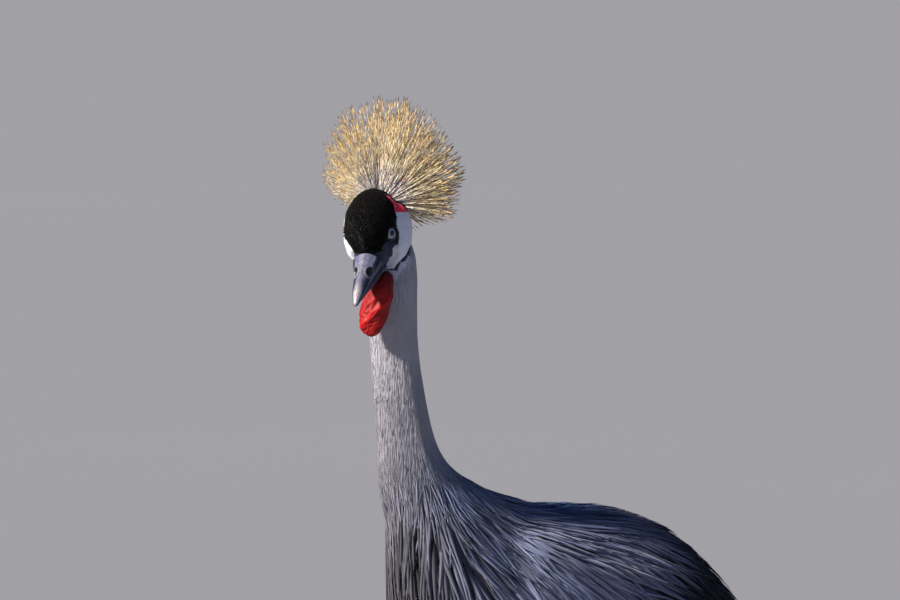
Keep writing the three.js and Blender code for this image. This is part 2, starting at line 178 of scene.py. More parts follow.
class Paint:
    """One procedural material in the making."""

    def __init__(self, name: str, **values: float | tuple[float, ...]) -> None:
        """Starts the material.

        Args:
            name: What the real thing is.
            values: The whole surface's values, by the name of the shader's socket with _ for each space.
        """
        self.material = bpy.data.materials.new(name)
        self.material.use_nodes = True
        self.tree = self.material.node_tree
        self.surface = self.tree.nodes["Principled BSDF"]
        for key, value in values.items():
            self.surface.inputs[key.replace("_", " ")].default_value = value

    def place(self) -> Socket:
        """The spot's place in the object's own axes."""
        return add_node(self.tree, "ShaderNodeTexCoord").outputs["Object"]

    def read(self, name: str, output: str = "Fac") -> Socket:
        """The mesh's own attribute, as a number or, from the output Color, as a colour."""
        return add_node(self.tree, "ShaderNodeAttribute", {"attribute_name": name}).outputs[output]

    def noise(
        self, where: Socket, scale: float, detail: float, rough: float = 0.5
    ) -> Socket:
        """Smooth random bumps.

        Args:
            where: The place to read them at.
            scale: How many bumps lie along one unit of the place.
            detail: How many finer layers they have.
            rough: How strong the finer layers are.

        Returns:
            The bumps' height, about 0.5.
        """
        settings = {"Scale": scale, "Detail": detail, "Roughness": rough, "Vector": where}
        return add_node(self.tree, "ShaderNodeTexNoise", settings).outputs["Fac"]

    def remap(
        self,
        value: Socket,
        given: Pair,
        result: Pair,
        smooth: bool = False,
    ) -> Socket:
        """Maps one span of values onto another.

        Args:
            value: The value to map.
            given: The span that it comes from, beyond which it is held.
            result: The span that it goes to.
            smooth: True to ease in and out.

        Returns:
            The mapped value.
        """
        settings = {"From Min": given[0], "From Max": given[1], "To Min": result[0], "To Max": result[1]}
        kind = {"interpolation_type": "SMOOTHSTEP"} if smooth else {}
        return add_node(self.tree, "ShaderNodeMapRange", kind | settings | {"Value": value}).outputs["Result"]

    def times(self, first: Socket, second: Socket | float) -> Socket:
        """The product of two values."""
        settings = {"operation": "MULTIPLY", 0: first, 1: second}
        return add_node(self.tree, "ShaderNodeMath", settings).outputs["Value"]

    def vector(self, *parts: Socket) -> Socket:
        """Up to three values as one place."""
        return add_node(self.tree, "ShaderNodeCombineXYZ", dict(zip("XYZ", parts))).outputs["Vector"]

    def bands(self, share: Socket, stops: Sequence[tuple[float, str]]) -> Socket:
        """Colours that change along a share from 0 to 1.

        Args:
            share: Where to read them.
            stops: Each colour's place and its code.

        Returns:
            The colour.
        """
        node = add_node(self.tree, "ShaderNodeValToRGB", {"Fac": share})
        bar = node.color_ramp
        while len(bar.elements) < len(stops):
            bar.elements.new(1.0)
        for element, (place, code) in zip(bar.elements, stops):
            element.position = place
            element.color = (*linear(code), 1.0)
        return node.outputs["Color"]

    def finish(
        self,
        colour: Socket | Triple,
        gain: Socket,
        height: Socket | None = None,
        strength: float = 0.0,
        depth_mm: float = 0.0,
    ) -> bpy.types.Material:
        """Gives the surface its colour and its fine relief.

        Args:
            colour: The surface's colour.
            gain: How bright it is at each spot.
            height: The relief, or None for a smooth surface.
            strength: How strongly it shows.
            depth_mm: How deep it is.

        Returns:
            The finished material.
        """
        tint = add_node(self.tree, "ShaderNodeVectorMath", {"operation": "SCALE", 0: colour, "Scale": gain})
        self.tree.links.new(tint.outputs["Vector"], self.surface.inputs["Base Color"])
        if height is not None:
            settings = {"Strength": strength, "Distance": depth_mm * MM, "Height": height}
            relief = add_node(self.tree, "ShaderNodeBump", settings)
            self.tree.links.new(relief.outputs["Normal"], self.surface.inputs["Normal"])
        return self.material


def ready(obj: bpy.types.Object) -> None:
    """Leaves only this object selected, and active, in object mode."""
    if bpy.context.object and bpy.context.object.mode != "OBJECT":
        bpy.ops.object.mode_set(mode="OBJECT")
    bpy.ops.object.select_all(action="DESELECT")
    obj.select_set(True)
    bpy.context.view_layer.objects.active = obj


def apply_modifier(obj: bpy.types.Object, kind: str, **settings: object) -> None:
    """Adds a modifier to an object and applies it.

    Args:
        obj: The object to change.
        kind: Blender's name for the type of modifier.
        settings: The modifier's properties.
    """
    ready(obj)
    modifier = obj.modifiers.new(kind.lower(), kind)
    for key, value in settings.items():
        setattr(modifier, key, value)
    bpy.ops.object.modifier_apply(modifier=modifier.name)


def array_mesh(name: str, corners: np.ndarray, faces: Sequence[np.ndarray]) -> bpy.types.Object:
    """Makes an object from arrays.

    Args:
        name: The piece's name.
        corners: Places in metres, one in each row.
        faces: Arrays of corner numbers, each with one face in a row.

    Returns:
        The new object, smooth shaded, at the origin.
    """
    mesh = bpy.data.meshes.new(name)
    mesh.vertices.add(len(corners))
    mesh.vertices.foreach_set("co", np.asarray(corners, np.float32).ravel())
    sizes = np.concatenate([np.full(len(f), f.shape[1], np.int32) for f in faces])
    loops = np.concatenate([f.astype(np.int32).ravel() for f in faces])
    mesh.loops.add(len(loops))
    mesh.loops.foreach_set("vertex_index", loops)
    mesh.polygons.add(len(sizes))
    mesh.polygons.foreach_set("loop_start", np.concatenate([[0], np.cumsum(sizes)[:-1]]).astype(np.int32))
    mesh.polygons.foreach_set("loop_total", sizes)
    mesh.polygons.foreach_set("use_smooth", np.ones(len(sizes), bool))
    mesh.update(calc_edges=True)
    obj = bpy.data.objects.new(name, mesh)
    bpy.context.scene.collection.objects.link(obj)
    return obj


def read_values(
    items: bpy.types.bpy_prop_collection, key: str, width: int, kind: type = np.float32
) -> np.ndarray:
    """Reads one property of all the parts of a mesh.

    Args:
        items: The mesh's vertices, edges, faces or the like.
        key: The property's name.
        width: How many numbers it has.
        kind: The type of number that the mesh stores.

    Returns:
        The values, one row for each part.
    """
    flat = np.empty(len(items) * width, kind)
    items.foreach_get(key, flat)
    return flat.reshape(-1, width)


def corners_of(obj: bpy.types.Object) -> np.ndarray:
    """The places of an object's vertices, one in each row."""
    return read_values(obj.data.vertices, "co", 3).astype(float)


def normals_of(obj: bpy.types.Object) -> np.ndarray:
    """The vertex normals of an object, one in each row."""
    return read_values(obj.data.vertices, "normal", 3).astype(float)


def edges_of(obj: bpy.types.Object) -> np.ndarray:
    """The vertex pairs of an object's edges, one in each row."""
    return read_values(obj.data.edges, "vertices", 2, np.int32)


def triangles_of(obj: bpy.types.Object) -> np.ndarray:
    """The corner numbers of an object's triangles, one in each row."""
    obj.data.calc_loop_triangles()
    return read_values(obj.data.loop_triangles, "vertices", 3, np.int32)


def move_corners(obj: bpy.types.Object, corners: np.ndarray) -> None:
    """Puts an object's vertices at new places."""
    obj.data.vertices.foreach_set("co", corners.astype(np.float32).ravel())
    obj.data.update()


def relax(values: np.ndarray, edges: np.ndarray, rounds: int) -> np.ndarray:
    """Evens out values over a mesh by averaging each with its neighbours.

    Args:
        values: One row for each vertex.
        edges: The vertex pairs of the mesh.
        rounds: How many times to average.

    Returns:
        The smoother values.
    """
    out = values.reshape(len(values), -1).astype(float)
    ends = np.concatenate([edges, edges[:, ::-1]])
    count = np.maximum(np.bincount(ends[:, 0], minlength=len(out)), 1)[:, None]
    for _ in range(rounds):
        total = np.stack(
            [np.bincount(ends[:, 0], weights=col[ends[:, 1]], minlength=len(out)) for col in out.T], axis=1
        )
        out = 0.5 * out + 0.5 * total / count
    return out.reshape(values.shape)


def write_attribute(obj: bpy.types.Object, name: str, values: np.ndarray) -> None:
    """Stores one number or one colour for each vertex.

    Args:
        obj: The object that gets the attribute.
        name: The name that the materials read.
        values: One number for each vertex, or rows of three for a colour.
    """
    if values.ndim == 1:
        layer = obj.data.attributes.new(name, "FLOAT", "POINT")
        layer.data.foreach_set("value", values.astype(np.float32))
        return
    layer = obj.data.attributes.new(name, "FLOAT_COLOR", "POINT")
    rgba = np.concatenate([values, np.ones((len(values), 1))], axis=1)
    layer.data.foreach_set("color", rgba.astype(np.float32).ravel())


def cad_arrays(nodes: Sequence[str], swell_mm: float = 0.0) -> tuple[np.ndarray, np.ndarray, np.ndarray]:
    """The joined surface of some CAD nodes, each with its corners merged.

    Args:
        nodes: The nodes' names.
        swell_mm: How far every corner moves out along its normal.

    Returns:
        The corners, the triangles, and for each triangle the number of its node in the list.
    """
    corners, triangles, owners = [], [], []
    count = 0
    for number, node in enumerate(nodes):
        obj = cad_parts[node]
        places, back = np.unique(np.round(corners_of(obj), 6), axis=0, return_inverse=True)
        tris = back.reshape(-1)[triangles_of(obj)]
        across = np.cross(places[tris[:, 1]] - places[tris[:, 0]], places[tris[:, 2]] - places[tris[:, 0]])
        normal = np.zeros_like(places)
        for k in range(3):
            np.add.at(normal, tris[:, k], across)
        corners.append(places + unit(normal) * swell_mm * MM)
        triangles.append(tris + count)
        owners.append(np.full(len(tris), number))
        count += len(places)
    return np.concatenate(corners), np.concatenate(triangles), np.concatenate(owners)


def box_middles(nodes: Sequence[str]) -> np.ndarray:
    """The middles of some CAD nodes' boxes, one in each row."""
    return np.array([np.mean([tuple(corner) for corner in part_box(node)], axis=0) for node in nodes])


def own_piece(
    obj: bpy.types.Object,
    replaces: Sequence[str] = (),
    material: bpy.types.Material | None = None,
) -> bpy.types.Object:
    """Finishes a piece, lets it ride on the bird and hides the CAD nodes that it stands for.

    Args:
        obj: The piece.
        replaces: The CAD nodes that it stands for.
        material: Its material, if it has none yet.

    Returns:
        The same piece.
    """
    if material:
        obj.data.materials.append(material)
    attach(obj, BODY)
    if replaces:
        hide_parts(*replaces)
    log.info("%s: %d faces", obj.name, len(obj.data.polygons))
    return obj


@dataclass(frozen=True)
class HeadFrame:
    """The head's own axes: forward along the bill, to the bird's left, and up out of the crown."""

    turn: float = 35.0  # degrees to the bird's left
    dip: float = 38.0  # degrees that the bill points below level
    tilt: float = 3.0  # degrees, left side up
    eyes_mm: Triple = (-0.16, 0.0, -0.5)  # the midpoint between the eyeballs

    @property
    def axes(self) -> np.ndarray:
        """Forward, left and up as the columns of a matrix."""
        turned = Matrix.Rotation(math.radians(self.turn), 3, "Z")
        dipped = Matrix.Rotation(math.radians(self.dip), 3, "Y")
        tilted = Matrix.Rotation(math.radians(self.tilt), 3, "X")
        return np.array(turned @ dipped @ tilted)

    @property
    def origin(self) -> np.ndarray:
        """The frame's origin in metres, from the places of the two eyeballs."""
        ends = np.array([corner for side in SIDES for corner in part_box(f"eye_{side}")])
        return ends.mean(axis=0) - self.axes @ (np.array(self.eyes_mm) * MM)

    def to_world(self, local_mm: np.ndarray) -> np.ndarray:
        """Places on the head, in millimetres, as places in metres."""
        return self.origin + np.asarray(local_mm) * MM @ self.axes.T

    def to_local(self, places: np.ndarray) -> np.ndarray:
        """Places in metres as places on the head, in millimetres."""
        return (np.asarray(places) - self.origin) @ self.axes / MM


HEAD = HeadFrame()


@dataclass(frozen=True)
class FaceMarks:
    """Where the bare cheek, its red part and the black of the head lie, in the head's millimetres."""

    middle: Pair = (-15.0, -11.0)  # forward and up
    slant: float = 43.0  # degrees that the cheek's long axis leans, its foot forward
    # The white cheek's edges as (along, front, rear), from its pointed foot up to the red
    cheek: tuple[Triple, ...] = (
        (-34.0, 7.0, 6.0),
        (-28.0, 8.5, 5.0),
        (-22.5, 10.0, 3.5),
        (-16.0, 14.5, 1.0),
        (-9.0, 14.0, -4.0),
        (0.0, 14.0, -8.0),
        (9.0, 16.5, -9.0),
        (20.0, 18.0, -5.5),
    )
    red: tuple[Triple, ...] = (
        (19.5, 18.0, 0.0),
        (27.0, 17.5, 6.0),
        (32.0, 19.2, 12.5),
        (38.0, 17.5, 17.0),
    )
    side: float = 8.0  # neither comes nearer than this to the head's middle plane
    right_trim: float = 8.0  # how much further back the right cheek starts, above its foot
    black_rim: float = 1.8  # the black line round the cheek
    rear_rim: float = 3.4  # the same behind the red and the upper cheek
    nape: float = -13.0  # the black of the crown and lores ends here, behind the cheek's foot
    throat: float = 2.0  # the lores run this far back along the throat
    chin_foot: float = -38.0  # and this far down it
    chin_across: float = 9.0  # ahead of this across the cheek's axis
    jaw_foot: float = -44.0  # the cheek may run this far down onto the neck
    # The lower edge of the crown's velvet as (forward, up), from the nape over the eye to the forehead
    crown: tuple[Pair, ...] = (
        (-45.0, 8.0),
        (-20.0, 8.0),
        (-9.0, -4.0),
        (3.0, -3.5),
        (8.0, 2.5),
        (12.5, 7.0),
        (20.0, 5.0),
        (24.0, 0.0),
        (32.0, 2.5),
    )

    def axes(self, local: np.ndarray) -> tuple[np.ndarray, np.ndarray]:
        """Distances along and across the cheek's long axis."""
        slant = math.radians(self.slant)
        forward = local[:, 0] - self.middle[0]
        up = local[:, 2] - self.middle[1]
        along = up * math.cos(slant) - forward * math.sin(slant)
        across = up * math.sin(slant) + forward * math.cos(slant)
        return along, across

    def gap(self, local: np.ndarray, edges: tuple[Triple, ...]) -> np.ndarray:
        """How far each place lies outside a marking, in millimetres, and below 0 inside it.

        Args:
            local: Places on the head.
            edges: The marking's edges as (along, front, rear).

        Returns:
            One distance for each place.
        """
        along, across = self.axes(local)
        steps, front, rear = np.array(edges).T
        trim = self.right_trim * ramp(along, -12.0, 4.0) * (local[:, 1] < 0.0)
        ends = np.maximum(steps[0] - along, along - steps[-1])
        ahead = across + trim - np.interp(along, steps, front)
        behind = np.interp(along, steps, rear) - across
        return np.maximum.reduce([ends, ahead, behind, self.side - np.abs(local[:, 1])])

    def white(self, local: np.ndarray) -> np.ndarray:
        """How far each place lies outside the bare cheek, red part included."""
        return np.minimum(self.gap(local, self.cheek), self.gap(local, self.red))

    def velvet(self, local: np.ndarray) -> np.ndarray:
        """True on the black crown, forehead and rim of the cheek."""
        forward, up = np.array(self.crown).T
        crown = local[:, 2] > np.interp(local[:, 0], forward, up)
        rear = ramp(self.axes(local)[0], 6.0, 20.0) * ramp(-self.axes(local)[1], -10.0, 0.0)
        return crown | (self.white(local) < self.black_rim + (self.rear_rim - self.black_rim) * rear)

    def lores(self, local: np.ndarray) -> np.ndarray:
        """True on the lores, chin and throat, dark feathers painted slate blue for the sky's sheen and the
        shade that they lie in.
        """
        return local[:, 0] > self.nape


FACE = FaceMarks()


@dataclass(frozen=True)
class EyeSeat:
    """How the left eye sits in the head, on the head's own axes. The right one mirrors it."""

    middle_mm: Triple = (-1.0, 15.0, 1.72)
    looks: Triple = (0.5, 0.8, 0.33)
    radius_mm: float = 8.0

    def on(self, sign: float) -> tuple[np.ndarray, np.ndarray]:
        """The middle and the axis of the eye on the side with this sign."""
        flip = np.array((1.0, sign, 1.0))
        return np.array(self.middle_mm) * flip, unit(np.array(self.looks) * flip)

    def offset(self, local: np.ndarray) -> np.ndarray:
        """The way from the near eye's middle to each place, mirrored to the left where it is on the right."""
        return np.abs(local) * (0, 1, 0) + local * (1, 0, 1) - np.array(self.middle_mm)


EYE = EyeSeat()


class Kind(Enum):
    """What covers a spot of the skin."""

    PLUMAGE = 0
    VELVET = 1
    LORES = 2
    CHEEK = 3
    RED = 4
    SCALES = 5


@dataclass(frozen=True)
class Seat:
    """A place on the body with the lie, size and colour of the feathers there."""

    place: Triple
    way: Triple
    length_mm: float
    width_mm: float
    depth_mm: float
    tint: str


# From the nape down the neck, over the breast and belly, and back over the shoulders to the tail
SEATS = (
    Seat((0.215, 0.010, 0.905), (-0.05, 0.0, -1.0), 16, 1.4, 0.7, "#cfd1e8"),
    Seat((0.222, 0.012, 0.850), (0.0, 0.0, -1.0), 28, 1.5, 0.8, "#d9daee"),
    Seat((0.218, 0.008, 0.780), (-0.02, 0.0, -1.0), 38, 1.8, 1.0, "#adaec2"),
    Seat((0.238, 0.000, 0.700), (0.0, 0.0, -1.0), 54, 2.3, 1.6, "#7a7b8c"),
    # Painted shade: the blue of this slate at the foot of the hind neck stands for the sky in the shade, over
    # the feathers' own grey
    Seat((0.175, 0.010, 0.715), (-0.42, 0.0, -0.9), 48, 2.3, 1.8, "#6c7ba0"),
    # Darker towards the foot of the breast: partly the plumes' own slate, partly painted shade where the neck
    # meets the shoulder
    Seat((0.226, 0.000, 0.630), (-0.02, 0.0, -1.0), 84, 6.2, 7.0, "#42424b"),
    Seat((0.205, 0.030, 0.550), (-0.15, 0.0, -1.0), 98, 7.6, 8.5, "#303036"),
    Seat((0.150, 0.030, 0.480), (-0.85, 0.0, -0.5), 64, 6.4, 8.0, "#60626c"),
    Seat((0.050, 0.030, 0.445), (-1.0, 0.0, 0.0), 48, 9.0, 8.0, "#777a85"),
    Seat((-0.110, 0.030, 0.455), (-1.0, 0.0, 0.15), 48, 9.0, 8.0, "#6b6e79"),
    # Lighter shoulders: partly the scapulars' own paler grey, partly a painted sunlit patch
    Seat((0.140, 0.055, 0.640), (-0.66, 0.05, -0.75), 78, 5.2, 5.0, "#7680a0"),
    Seat((0.110, 0.075, 0.580), (-0.72, 0.05, -0.69), 92, 6.4, 7.0, "#9ca2bf"),
    # Painted shade: the navy blue of the back's top stands for the neck's cast shadow lit by the sky, over
    # slate grey feathers
    Seat((0.070, 0.000, 0.690), (-0.97, 0.0, -0.15), 58, 4.4, 3.5, "#224c7c"),
    Seat((0.030, 0.080, 0.640), (-0.86, 0.02, -0.5), 92, 6.4, 6.0, "#6c7390"),
    # Painted shade: near black on the back, the folded wing and the rear, for the neck's cast shadow and the
    # side turned from the light, over slate grey feathers
    Seat((-0.050, 0.010, 0.665), (-0.97, 0.0, -0.25), 70, 6.4, 5.0, "#0a1228"),
    Seat((-0.050, 0.095, 0.580), (-0.85, 0.0, -0.52), 74, 7.4, 6.0, "#161a28"),
    Seat((-0.140, 0.030, 0.605), (-0.82, 0.0, -0.57), 80, 8.0, 6.0, "#090c15"),
    Seat((-0.200, 0.060, 0.500), (-0.74, -0.05, -0.67), 82, 9.0, 6.0, "#0f1118"),
    Seat((-0.280, 0.015, 0.430), (-0.74, -0.03, -0.67), 60, 8.0, 3.5, "#26242a"),
    Seat((0.020, 0.070, 0.470), (-0.35, 0.0, -0.94), 40, 6.0, 6.0, "#81848e"),
    Seat((0.012, 0.052, 0.370), (-0.1, 0.0, -1.0), 26, 3.6, 3.0, "#858892"),
)


class PlumageField:
    """The lie, size and colour of the contour feathers all over the body, blended between the seats."""

    near: float = 0.022  # within this distance a seat has its full say
    fall: float = 2.6  # how fast its say falls off beyond it

    def __init__(self, seats: Sequence[Seat]) -> None:
        """Reads the seats into arrays."""
        self.places = np.array([s.place for s in seats])
        self.ways = np.array([s.way for s in seats])
        self.sizes = np.array([(s.length_mm, s.width_mm, s.depth_mm) for s in seats])
        self.tints = np.array([linear(s.tint) for s in seats])

    def shares(self, points: np.ndarray) -> np.ndarray:
        """The say of each seat at each place, adding up to 1."""
        folded = points * (1.0, 0.0, 1.0) + np.abs(points) * (0.0, 1.0, 0.0)
        gap = ((folded[:, None] - self.places[None]) ** 2).sum(axis=-1)
        say = (gap + self.near**2) ** -self.fall
        return say / say.sum(axis=1, keepdims=True)

    def way(self, points: np.ndarray) -> np.ndarray:
        """The direction in which the feathers lie at each place."""
        out = self.shares(points) @ self.ways
        out[:, 1] *= np.sign(points[:, 1])
        return unit(out)

    def size(self, points: np.ndarray) -> np.ndarray:
        """Feather length, width and coat depth in millimetres at each place."""
        return self.shares(points) @ self.sizes

    def tint(self, points: np.ndarray) -> np.ndarray:
        """The linear colour of the feathers at each place."""
        return self.shares(points) @ self.tints


FIELD = PlumageField(SEATS)

# Top line of the back and folded wings, from the tail to the shoulders
BACK_X = (-0.301, -0.263, -0.211, -0.159, -0.101, -0.033, 0.039, 0.103, 0.160)
BACK_Z = (0.420, 0.462, 0.512, 0.574, 0.627, 0.654, 0.661, 0.660, 0.640)


def below_back(points: np.ndarray) -> np.ndarray:
    """How far each place lies under the back's top line, in metres."""
    return np.interp(points[:, 0], BACK_X, BACK_Z) - points[:, 2]


@dataclass
class Skin:
    """The one skin under the plumage, from the face to the toes, with lids, folds and leg scales."""

    voxel_mm: float = 2.4
    swell_mm: float = 0.4
    calm: Pair = (0.46, 0.87)  # heights between which the body is evened out
    hidden: Pair = (0.36, 0.70)  # heights between which the plumage hides it
    leg_top: float = 0.33
    head_reach_mm: float = 50.0
    opening: float = 37.0  # degrees from the eye's axis to the lids' edge
    lid_mm: float = 0.9
    behind_mm: float = 1.2  # how far the skin sinks behind the eyeball's surface
    velvet_depth_mm: float = 1.3
    lores_depth_mm: float = 0.7
    down_and_gap_shade: Pair = (0.30, 0.85)  # share of the feathers' colour on the down, on body and neck: the down's own darker grey and painted shade between the feathers
    foot_top: float = 0.016
    foot_mm: Pair = (17.4, 54.0)  # where the left foot's toes meet, forward and left
    obj: bpy.types.Object = field(init=False)
    kinds: np.ndarray = field(init=False)
    owners: np.ndarray = field(init=False)

    def build(self) -> bpy.types.Object:
        """Makes the skin from the nodes of flesh.

        Returns:
            The skin's object, with its material.
        """
        corners, triangles, owner = cad_arrays(FLESH, self.swell_mm)
        self.cad = BVHTree.FromPolygons(corners.tolist(), triangles.tolist())
        self.cad_owner = owner
        self.obj = array_mesh("skin", corners, [triangles])
        apply_modifier(self.obj, "REMESH", mode="VOXEL", voxel_size=self.voxel_mm * MM)
        apply_modifier(self.obj, "SMOOTH", factor=0.5, iterations=5)
        self.even_out()
        self.thin_out()
        jaw = FACE.jaw_foot - 2.0
        self.refine(lambda mid, local: np.abs(local[:, 0]) < self.head_reach_mm, HEAD_NODES)
        self.refine(lambda mid, local: (local[:, 2] > jaw) & (FACE.white(local) < 6.0), ("neck_upper",))
        self.refine(lambda mid, local: mid[:, 2] < self.leg_top, LEG_NODES)
        around_eye = 2 * EYE.radius_mm
        self.refine(lambda mid, local: np.linalg.norm(EYE.offset(local), axis=1) < around_eye, HEAD_NODES)
        self.shape()
        self.dress()
        return own_piece(self.obj, FLESH)

    def between(self, name: str, heights: Pair) -> str:
        """Makes a vertex group of this name between two heights, and gives back its name."""
        z = corners_of(self.obj)[:, 2]
        group = self.obj.vertex_groups.new(name=name)
        group.add(np.flatnonzero(within(z, heights)).tolist(), 1.0, "REPLACE")
        return name

    def even_out(self) -> None:
        """Smooths the neck and body under the plumage, so that the feathers lie calm."""
        group = self.between("calm", self.calm)
        apply_modifier(self.obj, "SMOOTH", factor=0.5, iterations=12, vertex_group=group)

    def thin_out(self) -> None:
        """Takes faces out of the part that the plumage hides."""
        apply_modifier(self.obj, "DECIMATE", ratio=0.40, vertex_group=self.between("hidden", self.hidden))

    def owner_of(self, points: np.ndarray) -> np.ndarray:
        """The number in FLESH of the node nearest to each place."""
        hits = [self.cad.find_nearest(Vector(p))[2] for p in points.tolist()]
        return self.cad_owner[np.array(hits)]

    def refine(self, where: Callable[[np.ndarray, np.ndarray], np.ndarray], nodes: Sequence[str]) -> None:
        """Divides the faces of some nodes in four.

        Args:
            where: Picks faces by their middles, in metres and in the head's millimetres.
            nodes: Only faces that lie on these nodes are divided.
        """
        mesh = self.obj.data
        middles = read_values(mesh.polygons, "center", 3).astype(float)
        picked = np.flatnonzero(where(middles, HEAD.to_local(middles)))
        names = np.array([FLESH[i] in nodes for i in self.owner_of(middles[picked])], bool)
        chosen = np.zeros(len(mesh.polygons), bool)
        chosen[picked[names]] = True
        ready(self.obj)
        mesh.polygons.foreach_set("select", chosen)
        mesh.vertices.foreach_set("select", np.zeros(len(mesh.vertices), bool))
        mesh.edges.foreach_set("select", np.zeros(len(mesh.edges), bool))
        bpy.ops.object.mode_set(mode="EDIT")
        bpy.ops.mesh.select_mode(type="FACE")
        bpy.ops.mesh.subdivide(number_cuts=1, smoothness=0.4)
        bpy.ops.object.mode_set(mode="OBJECT")

    def sort_kinds(self, points: np.ndarray, owners: np.ndarray) -> np.ndarray:
        """Says what covers each place.

        Args:
            points: Places on the skin, in metres.
            owners: The number in FLESH of each place's node.

        Returns:
            The value of a Kind for each place.
        """
        local = HEAD.to_local(points)
        on_head = np.isin(owners, [FLESH.index(n) for n in HEAD_NODES])
        on_leg = np.isin(owners, [FLESH.index(n) for n in LEG_NODES])
        near_jaw = (owners == FLESH.index("neck_upper")) & (local[:, 2] > FACE.jaw_foot)
        on_head |= near_jaw & (FACE.white(local) < 1.0)
        chin = (local[:, 0] > FACE.throat) & (local[:, 2] > FACE.chin_foot)
        on_head |= near_jaw & chin & (FACE.axes(local)[1] > FACE.chin_across)
        kinds = np.full(len(points), Kind.PLUMAGE.value)
        kinds[on_head & FACE.lores(local)] = Kind.LORES.value
        kinds[on_head & FACE.velvet(local)] = Kind.VELVET.value
        kinds[on_head & (FACE.gap(local, FACE.cheek) < 0.0)] = Kind.CHEEK.value
        kinds[on_head & (FACE.gap(local, FACE.red) < 0.0)] = Kind.RED.value
        kinds[on_leg] = Kind.SCALES.value
        return kinds

    def shape(self) -> None:
        """Sinks the skin by the coat's depth, and adds the lids, the face's folds and the leg scales."""
        points = corners_of(self.obj)
        normals = normals_of(self.obj)
        edges = edges_of(self.obj)
        self.owners = self.owner_of(points)
        self.kinds = self.sort_kinds(points, self.owners)
        for number in np.flatnonzero(self.kinds == Kind.SCALES.value):
            points[number] = self.cad.find_nearest(Vector(points[number]))[0]
        depth = FIELD.size(points)[:, 2]
        depth[self.kinds == Kind.VELVET.value] = self.velvet_depth_mm
        depth[self.kinds == Kind.LORES.value] = self.lores_depth_mm
        depth[np.isin(self.kinds, [Kind.CHEEK.value, Kind.RED.value, Kind.SCALES.value])] = 0.0
        depth = relax(depth, edges, 3) + self.swell_mm
        points -= normals * depth[:, None] * MM
        points = self.add_folds(points, normals)
        points = self.add_scales(points, normals)
        points = self.add_lids(points)
        points[:, 2] = np.maximum(points[:, 2], 0.0)
        move_corners(self.obj, points)

    def add_folds(self, points: np.ndarray, normals: np.ndarray) -> np.ndarray:
        """Fine wrinkles on the bare cheeks."""
        bare = np.flatnonzero(np.isin(self.kinds, [Kind.CHEEK.value, Kind.RED.value]))
        ripple = 0.22 * grain(points[bare], 3.2) + 0.10 * grain(points[bare], 1.5, 4.0)
        out = points.copy()
        out[bare] += normals[bare] * ripple[:, None] * MM
        return out

    def add_scales(self, points: np.ndarray, normals: np.ndarray) -> np.ndarray:
        """Broad scutes down the front of the shanks and over the toes, with small scales behind."""
        legs = np.flatnonzero(self.kinds == Kind.SCALES.value)
        p, n = points[legs], normals[legs]
        on_toe = p[:, 2] < self.foot_top
        middle = np.array(self.foot_mm) * MM
        run = np.where(on_toe, np.hypot(p[:, 0] - middle[0], np.abs(p[:, 1]) - middle[1]), p[:, 2])
        pitch = np.where(on_toe, 4.2, 5.5) * MM
        phase = (run / pitch) % 1.0
        scute = np.minimum(phase, 1.0 - phase) * 2.0
        front = np.where(on_toe, ramp(n[:, 2], 0.1, 0.6), ramp(n[:, 0], 0.0, 0.5))
        small = grain(p, 2.6)
        lift = front * (np.sqrt(scute) - 0.7) * 0.6 + (1.0 - front) * small * 0.3
        lift *= ramp(n[:, 2], -0.9, -0.6)
        out = points.copy()
        out[legs] += n * lift[:, None] * MM
        return out

    def add_lids(self, points: np.ndarray) -> np.ndarray:
        """Draws the skin over each eyeball up to the lids' edge, and sinks it behind the eyeball inside."""
        local = HEAD.to_local(points)
        for sign in SIDES.values():
            middle, axis = EYE.on(sign)
            offset = local - middle
            far = np.linalg.norm(offset, axis=1)
            level = unit(np.cross(np.cross(axis, (1.0, 0.0, -0.35)), axis))
            off_axis = offset - (offset @ axis)[:, None] * axis
            angle = np.degrees(np.arctan2(np.linalg.norm(off_axis, axis=1), offset @ axis))
            angle *= 1.0 - 0.16 * np.abs(unit(off_axis) @ level) ** 2
            near = (far < 17.0) & (angle < 80.0)
            rim = ramp(angle, self.opening - 4.0, self.opening + 1.0)
            fold = np.exp(-(((angle - self.opening - 19.0) / 5.0) ** 2))
            over = EYE.radius_mm + self.lid_mm * (1.0 + 0.5 * ramp(angle, 40.0, 60.0)) - 0.55 * fold
            wanted = (EYE.radius_mm - self.behind_mm) * (1.0 - rim) + over * rim
            keep = ramp(angle, 56.0, 80.0)
            new = wanted * (1.0 - keep) + far * keep
            local[near] = middle + offset[near] / far[near, None] * new[near, None]
        return HEAD.to_world(local)

    def dress(self) -> None:
        """Colours every vertex by what covers it, and gives each kind of skin its own material."""
        points = corners_of(self.obj)
